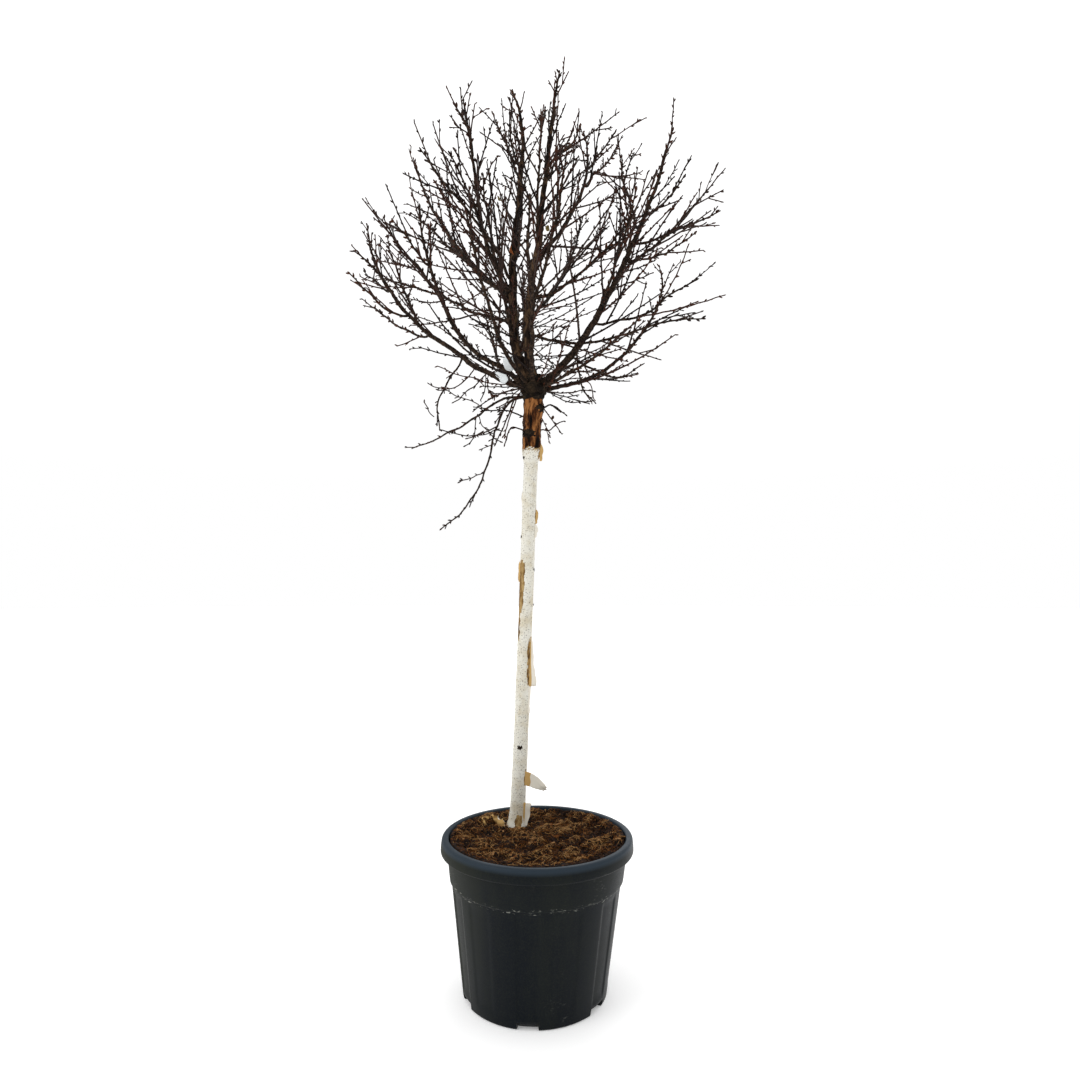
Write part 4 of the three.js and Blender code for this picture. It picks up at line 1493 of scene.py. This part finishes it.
    def grow_spurs(self) -> None:
        """Grows the short, stout spurs that carry a cluster of buds."""
        rng = np.random.default_rng(self.seed + 700)
        carriers = [(s.points, s.radii, s.spray, 2.2 * self.spur_gap) for s in self.shoots]
        for number, (_, points, radii) in enumerate(self.finished):
            carriers.append((points, radii, number % self.sprays, self.spur_gap))
        for points, radii, spray, gap in carriers:
            along = lengths_along(points)
            ways = unit(np.gradient(points, axis=0))
            thin = np.nonzero(radii < self.bare_wood)[0]
            if len(thin) == 0:
                continue
            place = max(along[thin[0]], 0.2 * along[-1]) + gap * rng.uniform(0.2, 1.0)
            turn = rng.uniform(0, TURN)
            while place < along[-1] - 16 * MM:
                at = int(np.searchsorted(along, place))
                way = unit(ways[at] + square_to(ways[at], turn) * rng.uniform(0.5, 1.0) + UP * 0.15)
                length = rng.uniform(*self.spur_length) * rng.uniform(0.5, 1.0)
                spur = self.grow(points[at], way, length + radii[at], 2.6 * MM, 0.3, spray, rng)
                if spur is not None:
                    self.spurs.append(spur)
                turn += math.pi + rng.normal(0, 0.7)
                place += gap * rng.uniform(0.5, 1.5)

    def build_twigs(self) -> None:
        """Builds the twigs and spurs, joined into one piece for each side of the crown."""
        finishes = [finish.make() for finish in TWIG_SKINS]
        shells = {side: Shell() for side in Side}
        middle = self.stem.points[-1]
        for shoot in self.shoots + self.spurs:
            shell = shells[side_of(shoot.points[0], middle)]
            sides = 5 if shoot.radii[0] > 1.5 * MM else 4
            corners, quads, triangles = tube(shoot.points, shoot.radii, sides)
            shell.add(corners, quads, triangles, shoot.spray)
        for side, shell in shells.items():
            piece = shell.build(f"twigs_{side.value}", finishes)

    def build_buds(self) -> None:
        """Builds the buds: pointed spindles at the bends and tips of the shoots, spurs and thin limbs."""
        finishes = [finish.make() for finish in BUD_SCALES]
        shells = {side: Shell() for side in Side}
        middle = self.stem.points[-1]
        rng = np.random.default_rng(self.seed + 500)
        carriers = [(s.points, s.radii, s.spray, 1.0) for s in self.shoots + self.spurs]
        for number, (limb, points, radii) in enumerate(self.finished):
            big = 1.0 if limb.name.startswith(self.drooping) else self.limb_bud_scale
            carriers.append((points, radii, number, big))
        for points, radii, spray, size in carriers:
            along = lengths_along(points)
            ways = unit(np.gradient(points, axis=0))
            thin = np.nonzero(radii < self.bare_wood)[0]
            if len(thin) == 0:
                continue
            turn = rng.uniform(0, TURN)
            place = along[thin[0]] + rng.uniform(*self.bud_gap)
            shell = shells[side_of(points[0], middle)]
            slot = spray % len(finishes)
            self.add_bud(shell, points[-1] - ways[-1] * 5 * MM, ways[-1], slot, size, rng)
            while place < along[-1] - 2 * MM:
                at = int(np.searchsorted(along, place))
                out = square_to(ways[at], turn)
                way = unit(ways[at] + out * 0.75)
                self.add_bud(shell, points[at] + out * radii[at] * 0.5, way, slot, size, rng)
                turn += math.pi + rng.normal(0, 0.5)
                place += rng.uniform(*self.bud_gap) / size
        for side, shell in shells.items():
            piece = shell.build(f"buds_{side.value}", finishes)

    def add_bud(
        self,
        shell: Shell,
        start: Array,
        way: Array,
        slot: int,
        size: float,
        rng: np.random.Generator,
    ) -> None:
        """Adds one bud to a shell."""
        length = rng.uniform(*self.bud_length) * size
        width = rng.uniform(*self.bud_radius) * size
        parts = np.array([0.0, 0.45, 0.8, 1.0])
        radii = np.array([0.6, 1.0, 0.66, 0.1]) * width
        line = start + parts[:, None] * way * length
        low, high = np.array(CAD_BOX[0]) + width, np.array(CAD_BOX[1]) - width
        line = line - np.maximum(line.max(0) - high, 0.0) + np.maximum(low - line.min(0), 0.0)
        corners, quads, triangles = tube(line, radii, 4)
        shell.add(corners, quads, triangles, slot)


TWIG_SKINS = (
    PlainGrowth("twig_skin_dark", "#1d1411", 0.6),
    PlainGrowth("twig_skin_brown", "#2a1b16", 0.6),
    PlainGrowth("twig_skin_red", "#352019", 0.55),
    PlainGrowth("twig_skin_grey", "#3a2e29", 0.65),
)
BUD_SCALES = (
    PlainGrowth("bud_scale_dark", "#21140f", 0.55, 0.8),
    PlainGrowth("bud_scale_brown", "#331e15", 0.55, 0.8),
    PlainGrowth("bud_scale_red", "#432619", 0.55, 0.8),
)


# ---------------------------------------------------------------- what hangs in the crown


@dataclass(frozen=True)
class Blade:
    """One thin thing in the crown: a withered leaf, or half of the blank tag."""

    middle_mm: tuple[float, float, float]
    long_mm: float
    wide_mm: float
    bearing: float  # of its length, degrees
    elevation: float  # of its length, degrees
    curl: float  # how far it bends along its length, degrees
    slot: int


@dataclass
class Leftovers:
    """The few dead leaves that have not dropped, and a blank film tag of two lobes."""

    thickness: float = 0.3 * MM
    rows: int = 9
    columns: int = 6
    leaves: tuple[Blade, ...] = (
        Blade((-93, 30, 1758), 20, 13, -30, -60, 80, 0),
        Blade((-64, 20, 1631), 26, 12, 10, -80, 60, 1),
        Blade((48, 40, 1776), 18, 10, 200, -50, 90, 0),
        Blade((36, 40, 1240), 13, 7, 240, -70, 70, 2),
        Blade((23, 150, 1753), 20, 11, 60, -70, 80, 0),
    )
    tag: tuple[Blade, ...] = (
        Blade((-67, -4, 1353), 36, 30, 235, 62, 30, 0),
        Blade((-82, -4, 1323), 34, 28, 225, 40, -30, 0),
    )

    def build(self) -> None:
        """Builds the leaves and the tag."""
        for name, blades, taper, finishes, slot in (
            ("dead_leaves", self.leaves, 1.0, DEAD_LEAVES, "bough_bark"),
            ("blank_tag", self.tag, 0.5, (TAG_FILM,), "pot_plastic"),
        ):
            shell = Shell()
            for number, blade in enumerate(blades):
                self.add_blade(shell, blade, taper, number)
            shell.build(name, [finish.make() for finish in finishes])

    def add_blade(self, shell: Shell, blade: Blade, taper: float, number: int) -> None:
        """Adds one blade.

        Args:
            shell: Where it is added.
            blade: Its form.
            taper: How pointed its ends are: 1 like a leaf, less like a rounded tag.
            number: Sets its crinkles.
        """
        u, v = np.meshgrid(np.linspace(-1, 1, self.columns), np.linspace(-1, 1, self.rows))
        way = heading(blade.bearing, blade.elevation)
        side = np.cross(way, UP)
        side = side / np.linalg.norm(side)
        lift = np.cross(side, way)
        bend = math.radians(blade.curl) * (v + 0.001)
        span = blade.long_mm / 2 * MM / math.radians(abs(blade.curl))
        half = blade.wide_mm / 2 * MM * np.maximum(1 - np.abs(v) ** (2.6 / taper), 0.12) ** 0.6
        reach = span * np.sin(np.abs(bend)) * np.sign(bend)
        rise = span * (1 - np.cos(bend)) * np.sign(blade.curl) + np.abs(u) * half * 0.5 * taper
        sheet = np.array(blade.middle_mm) * MM + way * reach[..., None]
        sheet = sheet + lift * rise[..., None]
        sheet = sheet + side * (u * half)[..., None]
        sheet = sheet + lift * (1.0 * MM * Grain(7 * MM, 800 + number).at(sheet))[..., None]
        corners, quads = closed_sheet(sheet, sheet - lift * self.thickness)
        shell.add(corners, quads, None, blade.slot)


DEAD_LEAVES = (
    PlainGrowth("withered_leaf_olive", "#74643c", 0.7, 2.0),
    PlainGrowth("withered_leaf_rust", "#7a4420", 0.7, 2.0),
    PlainGrowth("withered_leaf_brown", "#40291a", 0.7, 2.0),
)
TAG_FILM = PlainGrowth("tag_film_white", "#cfd3d4", 0.35, 6.0)


# ---------------------------------------------------------------- pot


@dataclass
class Pot:
    """The moulded nursery pot: fluted wall, smooth band, rolled rim and a notched foot."""

    taper: float = 0.128
    foot_radius: float = 152 * MM
    wall: float = 2.6 * MM
    band_foot: float = 233 * MM
    band_step: float = 3.4 * MM
    rim_foot: float = 291 * MM
    inner_floor: float = 262 * MM  # under the top of the compost, where the inside ends
    notch_angle: float = -5.0  # degrees from the front
    notch_half: float = 8.1
    notch_height: float = 14 * MM
    notch_depth: float = 15 * MM
    skew: float = 5 * MM
    flute_half: float = 7.6  # half the width of a flute, degrees
    flute_foot: float = 24 * MM
    flute_top: float = 222 * MM
    outer_rows: int = 60  # rows of the outline, from its start, that the flutes press in
    flute_depth: float = 2.2 * MM
    panel_angle: float = 26.0  # of a shallow panel beside each flute
    panel_half: float = 8.0
    panel_depth: float = 0.9 * MM
    height: float = field(init=False)
    rim_radius: float = field(init=False)

    def __post_init__(self) -> None:
        """Takes the height and the rim's radius from the frame."""
        low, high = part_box("pot")
        self.height = high.z
        self.rim_radius = (high.y - low.y) / 2

    def radius(self, height: float) -> float:
        """Outer radius of the wall at a height."""
        step = 0.5 + 0.5 * math.tanh((height - self.band_foot) / (0.9 * MM))
        return self.foot_radius + self.taper * height + self.band_step * step

    def outline(self) -> list[tuple[float, float]]:
        """The outer and inner profile, from the middle of the underside to the middle of the inside."""
        rows = [(0.0, 0.0), (60 * MM, 0.0), (110 * MM, 0.0)]
        rows += [(self.foot_radius - self.notch_depth, 0.0)]
        corner = 5 * MM
        for turn in np.linspace(0, 90, 7):
            a = math.radians(turn)
            reach = self.foot_radius + self.taper * corner - corner + corner * math.sin(a)
            rows.append((reach, corner * (1 - math.cos(a))))
        heights = list(np.linspace(self.notch_height, self.band_foot - 3 * MM, 48))
        heights += list(np.linspace(self.band_foot - 2 * MM, self.band_foot + 2 * MM, 7))
        heights += list(np.linspace(self.band_foot + 6 * MM, self.rim_foot - 2 * MM, 8))
        rows += [(self.radius(h), h) for h in heights]
        base = self.radius(self.rim_foot)
        top, out = self.height, self.rim_radius
        rows += [(base + 1.5 * MM, self.rim_foot - 0.4 * MM), (out - 4 * MM, self.rim_foot - 1.0 * MM)]
        for turn in np.linspace(-80, 0, 6):
            a = math.radians(turn)
            lift = 3.5 * MM + 4 * MM * math.sin(a)
            rows.append((out - 3 * MM + 3 * MM * math.cos(a), self.rim_foot + lift))
        rows += [(out - 0.3 * MM, self.rim_foot + 12 * MM), (out - 1.2 * MM, top - 9 * MM)]
        for turn in np.linspace(10, 90, 8):
            a = math.radians(turn)
            rows.append((out - 8 * MM + 6.4 * MM * math.cos(a), top - 7 * MM + 7 * MM * math.sin(a)))
        for turn in np.linspace(90, 175, 6):
            a = math.radians(turn)
            rows.append((base + 1.2 * MM + 4 * MM * math.cos(a), top - 4 * MM + 4 * MM * math.sin(a)))
        inside = base - self.wall
        rows += [(inside, top - 8 * MM), (inside, self.rim_foot)]
        rows += [(inside - 4 * MM, self.inner_floor), (0.0, self.inner_floor)]
        return rows

    def columns(self) -> Array:
        """Angles of the columns, in degrees from the front, with close pairs at the notches' sides."""
        one = list(np.arange(-30.0, 30.0, 1.0))
        one += [sign * (self.notch_half + gap) for sign in (-1, 1) for gap in (-0.12, 0.12)]
        one = np.array(sorted(one))
        return np.concatenate([one + self.notch_angle + 60 * i for i in range(6)])

    def build(self) -> None:
        """Builds the pot."""
        rows = np.array(self.outline())
        angles = self.columns()
        radius = np.repeat(rows[:, 0][:, None], len(angles), axis=1)
        height = np.repeat(rows[:, 1][:, None], len(angles), axis=1)
        off = (angles - self.notch_angle + 30.0) % 60.0 - 30.0
        in_notch = np.abs(off)[None, :] < self.notch_half
        inner = self.foot_radius - self.notch_depth
        foot = (height < self.notch_height) & (radius > inner + 0.5 * MM)
        height = np.where(in_notch & foot, self.notch_height, height)
        radius = radius - self.flutes(off, rows)
        turn = np.radians(angles)[None, :]
        x = radius * np.sin(turn) - self.skew * (1 - height / self.height)
        y = -radius * np.cos(turn)
        points = np.stack([x, y, height], -1)
        sides = len(angles)
        quads = ring_quads(np.arange(1, len(rows) - 2), sides)
        last = (len(rows) - 2) * sides
        ends = np.concatenate([fan(0, sides, sides, turned=True), fan(last + sides, last, sides)])
        shell = Shell()
        shell.add(points.reshape(-1, 3), quads, ends)
        pot = shell.build("nursery_pot", [NurseryPlastic().make()])
        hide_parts("pot")

    def flutes(self, off: Array, rows: Array) -> Array:
        """How far each point of the wall is pressed in."""
        height = rows[:, 1][:, None]
        outside = (np.arange(len(rows)) < self.outer_rows)[:, None]
        rise = 1 / (1 + np.exp(-(height - self.flute_foot) / (2.5 * MM)))
        rise = rise / (1 + np.exp((height - self.flute_top) / (2.0 * MM)))
        edge = 1 / (1 + np.exp((np.abs(off)[None, :] - self.flute_half) / 0.35))
        panel = np.abs((off - self.panel_angle + 30.0) % 60.0 - 30.0)[None, :]
        shallow = 1 / (1 + np.exp((panel - self.panel_half) / 0.5))
        return np.where(outside, (self.flute_depth * edge + self.panel_depth * shallow) * rise, 0.0)


# ---------------------------------------------------------------- compost


@dataclass
class Soil:
    """Peat compost with bark chips and coconut fibre, heaped up against the rim."""

    stem: Limb
    rings: int = 120
    columns: int = 300
    chips: int = 1500
    fibres: int = 5000
    bare_hollow: float = -0.5  # tuft level under which hardly any fibres lie
    seed: int = 5
    mound: float = 307 * MM  # height in the middle of the pot
    heap: float = 11.5 * MM  # how much higher it is against the rim
    heap_start: float = 0.76  # where the heap starts, as a part of the radius
    heap_width: float = 0.2  # part of the radius over which it rises
    tilt: float = 1.5 * MM  # about how much higher it is at the front left edge than in the middle
    tilt_reach: float = 215 * MM  # distance to the right and back, together, for one tilt down
    tuft_height: float = 3.2 * MM
    dip_radius: float = 45 * MM  # of the dip round the foot of the stem
    fibre_steps: int = 3
    radius: float = 186 * MM
    bottom: float = 264 * MM
    highest: float = 318.5 * MM

    def surface(self, x: Array, y: Array) -> Array:
        """Height of the compost at a place."""
        flat = np.stack([x, y, np.zeros_like(x)], -1)
        edge = np.hypot(x, y) / self.radius
        heaped = np.clip((edge - self.heap_start) / self.heap_width, 0, 1)
        height = self.mound + self.heap * heaped - self.tilt * (x + y) / self.tilt_reach
        foot = self.stem.points[0]
        near = np.exp(-(((x - foot[0]) ** 2 + (y - foot[1]) ** 2) / self.dip_radius**2))
        height = height * (1 - near) + foot[2] * near
        height = height + self.tuft_height * self.tufts(flat) * (1 - near)
        height = height + 1.7 * MM * Grain(13 * MM, 52).at(flat) + 0.9 * MM * Grain(5 * MM, 53).at(flat)
        return np.minimum(height, self.highest)

    def tufts(self, flat: Array) -> Array:
        """Where the peat stands in tufts, above 0, and where it lies in hollows painted darker as shade,
        below 0.
        """
        return Grain(38 * MM, 51).at(flat)

    def shade(self, rng: np.random.Generator, place: Array, count: int) -> int:
        """The slot of a chip or fibre: darker in the hollows as painted shade, paler on the tufts as painted
        light.
        """
        level = 0.52 + 0.42 * float(self.tufts(place * [1, 1, 0])) + rng.normal(0, 0.22)
        return int(np.clip(level * count, 0, count - 1))

    def build(self) -> None:
        """Builds the compost, chips and fibres."""
        reach = self.radius * np.linspace(0, 1, self.rings + 1)[1:]
        turn = np.arange(self.columns) * TURN / self.columns
        x = reach[:, None] * np.cos(turn)
        y = reach[:, None] * np.sin(turn)
        top = np.stack([x, y, self.surface(x, y)], -1).reshape(-1, 3)
        rim = top[-self.columns :] * [1, 1, 0] + [0, 0, self.bottom]
        middle = np.array([[0, 0, float(self.surface(np.zeros(1), np.zeros(1))[0])], [0, 0, self.bottom]])
        points = np.concatenate([top, rim, middle])
        sides = self.columns
        quads = ring_quads(np.arange(self.rings), sides)[:, [0, 3, 2, 1]]
        last = self.rings * sides
        lid = fan(last + sides, 0, sides)
        base = fan(last + sides + 1, last, sides, turned=True)
        shell = Shell()
        shell.add(points, quads, np.concatenate([lid, base]))
        soil = shell.build("compost_bed", [Compost().make()])
        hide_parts("soil")
        self.build_chips()
        self.build_fibres()

    def scatter(self, rng: np.random.Generator, count: int) -> Array:
        """Random places on the compost, as x, y and height."""
        reach = self.radius * 0.985 * np.sqrt(rng.uniform(0, 1, count))
        turn = rng.uniform(0, TURN, count)
        x, y = reach * np.cos(turn), reach * np.sin(turn)
        return np.stack([x, y, self.surface(x, y)], -1)

    def build_chips(self) -> None:
        """Strews flat bark chips, mostly of 3 to 12 mm, over the compost."""
        rng = np.random.default_rng(self.seed)
        shell = Shell()
        sides = [[0, 1, 5, 4], [1, 2, 6, 5], [2, 3, 7, 6], [3, 0, 4, 7]]
        quads = np.array([[0, 3, 2, 1], [4, 5, 6, 7], *sides])
        outline = np.array([[-1, -1], [1, -0.7], [0.8, 1], [-0.9, 0.8]])
        for place in self.scatter(rng, self.chips):
            long = rng.gamma(2.4, 1.5) * MM + 2 * MM
            wide, thick = long * rng.uniform(0.3, 0.7), rng.uniform(0.5, 1.4) * MM
            way = unit(np.array([*rng.normal(size=2), rng.normal(0, 0.22)]))
            side = square_to(way, rng.normal(0, 0.35))
            lift = np.cross(way, side)
            shape = outline * rng.uniform(0.75, 1.1, (4, 2)) / 2
            flat = place + shape[:, :1] * way * long + shape[:, 1:] * side * wide
            flat = flat + UP * rng.uniform(-0.6, 1.4) * MM
            if lift[2] < 0:
                lift = -lift
                flat = flat[::-1]
            corners = np.concatenate([flat, flat + lift * thick])
            shell.add(corners, quads, None, self.shade(rng, place, len(CHIPS)))
        chips = shell.build("bark_chips", [finish.make() for finish in CHIPS], smooth=False)

    def build_fibres(self) -> None:
        """Strews curled coconut fibres of 5 to 22 mm over the compost."""
        rng = np.random.default_rng(self.seed + 1)
        shell = Shell()
        for place in self.scatter(rng, self.fibres):
            length = rng.uniform(5, 22) * MM
            way = unit(np.array([*rng.normal(size=2), 0.0]))
            points = [place + UP * 0.6 * MM]
            curl = rng.normal(0, 0.5)
            c, s = math.cos(curl), math.sin(curl)
            turn = np.array([[c, -s, 0], [s, c, 0], [0, 0, 1]])
            for _ in range(self.fibre_steps):
                way = turn @ way
                points.append(points[-1] + way * length / self.fibre_steps)
            line = np.array(points)
            hollow = float(self.tufts(place * [1, 1, 0])) + rng.normal(0, 0.3) < self.bare_hollow
            if hollow or np.hypot(line[:, 0], line[:, 1]).max() > self.radius * 0.99:
                continue
            line[:, 2] = self.surface(line[:, 0], line[:, 1]) + rng.uniform(0.2, 2.0) * MM
            hump = np.sin(np.linspace(0, math.pi, len(line)))
            line[:, 2] += 2.6 * MM * hump * rng.uniform(0, 1)
            corners, quads, triangles = tube(line, np.full(len(line), rng.uniform(0.25, 0.55) * MM), 3)
            shell.add(corners, quads, triangles, self.shade(rng, place, len(FIBRES)))
        fibres = shell.build("coconut_fibres", [finish.make() for finish in FIBRES])


CHIPS = (
    PlainGrowth("bark_chip_black", "#090402", 0.85, 2.0),
    PlainGrowth("bark_chip_dark", "#1c0e06", 0.85, 2.0),
    PlainGrowth("bark_chip_brown", "#3d2211", 0.85, 2.0),
    PlainGrowth("bark_chip_rust", "#5f3819", 0.85, 2.0),
    PlainGrowth("bark_chip_pale", "#86633f", 0.85, 2.0),
)
FIBRES = (
    PlainGrowth("coir_black", "#0a0402", 0.8, 1.0),
    PlainGrowth("coir_dark", "#241207", 0.8, 1.0),
    PlainGrowth("coir_rust", "#54310f", 0.8, 1.0),
    PlainGrowth("coir_brown", "#74491f", 0.8, 1.0),
    PlainGrowth("coir_pale", "#a07a4c", 0.8, 1.0),
)


# ---------------------------------------------------------------- studio


@dataclass(frozen=True)
class SoftLight:
    """A square lamp that looks at the middle of the plant."""

    name: str
    place: tuple[float, float, float]
    size: float
    power: float  # watts


@dataclass
class Studio:
    """A pale floor, a white surround, soft lights and the camera."""

    lens: float = 23.67  # on a 36 mm sensor
    camera_place: tuple[float, float, float] = (0.0058, -1.576, 0.84)
    camera_pitch: float = 4.16  # degrees above the horizon
    floor_radius: float = 40.0
    floor_sides: int = 96
    floor_glow: float = 0.2  # light of its own, which keeps the plant's shadow faint
    open_end: float = 0.45  # brightness of the surround behind the camera
    overhead: float = 0.35  # how much brighter the surround is straight up
    lights: tuple[SoftLight, ...] = (
        SoftLight("key_light", (-2.8, -1.8, 2.6), 1.8, 34.0),
        SoftLight("fill_light", (2.6, -2.0, 2.2), 2.6, 6.0),
        SoftLight("rear_light", (0.8, 3.0, 2.8), 2.6, 14.0),
    )

    def build(self) -> None:
        """Builds everything round the plant."""
        self.make_camera()
        self.make_floor()
        self.make_world()
        for light in self.lights:
            self.make_light(light)
        bpy.context.scene.view_settings.view_transform = "Standard"

    def make_camera(self) -> None:
        """Makes the camera."""
        data = bpy.data.cameras.new("camera")
        data.lens = self.lens
        data.sensor_width = 36.0
        camera = bpy.data.objects.new("camera", data)
        camera.location = self.camera_place
        camera.rotation_euler = (math.radians(90.0 + self.camera_pitch), 0.0, 0.0)
        bpy.context.scene.collection.objects.link(camera)
        bpy.context.scene.camera = camera

    def make_floor(self) -> None:
        """Makes a round, pale floor."""
        points = [[0.0, 0.0, 0.0]]
        for i in range(self.floor_sides):
            a = TURN * i / self.floor_sides
            points.append([self.floor_radius * math.cos(a), self.floor_radius * math.sin(a), 0.0])
        mesh = bpy.data.meshes.new("floor")
        mesh.from_pydata(points, [], fan(0, 1, self.floor_sides).tolist())
        shader = {"Base Color": linear("#fbfbfb"), "Roughness": 0.9, "Specular IOR Level": 0.1}
        shader |= {"Emission Color": linear("#ffffff"), "Emission Strength": self.floor_glow}
        mesh.materials.append(new_material("floor_paint", shader)[0])
        floor = bpy.data.objects.new("floor", mesh)
        bpy.context.scene.collection.objects.link(floor)

    def make_world(self) -> None:
        """Makes a white surround that is dimmer behind the camera, like a studio with an open end."""
        world = bpy.data.worlds.new("studio")
        world.use_nodes = True
        tree = world.node_tree
        way = add_node(tree, "ShaderNodeTexCoord").outputs["Generated"]
        parts = add_node(tree, "ShaderNodeSeparateXYZ", links={"Vector": way})
        level = add_node(
            tree,
            "ShaderNodeMapRange",
            {"From Min": -1.0, "From Max": 0.1, "To Min": self.open_end, "To Max": 1.0},
            {"Value": parts.outputs["Y"]},
        )
        overhead = add_node(
            tree,
            "ShaderNodeMapRange",
            {"From Min": 0.15, "From Max": 1.0, "To Max": self.overhead},
            {"Value": parts.outputs["Z"]},
        )
        both = add_node(
            tree,
            "ShaderNodeMath",
            {"operation": "ADD"},
            {0: level.outputs["Result"], 1: overhead.outputs["Result"]},
        )
        background = tree.nodes["Background"]
        background.inputs["Color"].default_value = (1.0, 1.0, 1.0, 1.0)
        tree.links.new(both.outputs["Value"], background.inputs["Strength"])
        bpy.context.scene.world = world

    def make_light(self, light: SoftLight) -> None:
        """Makes one of the lights."""
        data = bpy.data.lights.new(light.name, "AREA")
        data.size = light.size
        data.energy = light.power
        lamp = bpy.data.objects.new(light.name, data)
        lamp.location = light.place
        lamp.rotation_mode = "QUATERNION"
        lamp.rotation_quaternion = Vector(UP - np.array(light.place)).to_track_quat("-Z", "Y")
        bpy.context.scene.collection.objects.link(lamp)


def main() -> None:
    """Builds the studio and the plant."""
    logging.basicConfig(level=logging.INFO, format="%(name)s %(message)s")
    Studio().build()
    skeleton = Skeleton()
    LOG.info("read the stem and %d limbs", len(skeleton.limbs))
    Pot().build()
    Soil(skeleton.stem).build()
    Stem(skeleton.stem).build()
    finished = Boughs(skeleton).build()
    Twigs(finished, skeleton.stem).build()
    Leftovers().build()


if __name__ == "__main__":
    main()
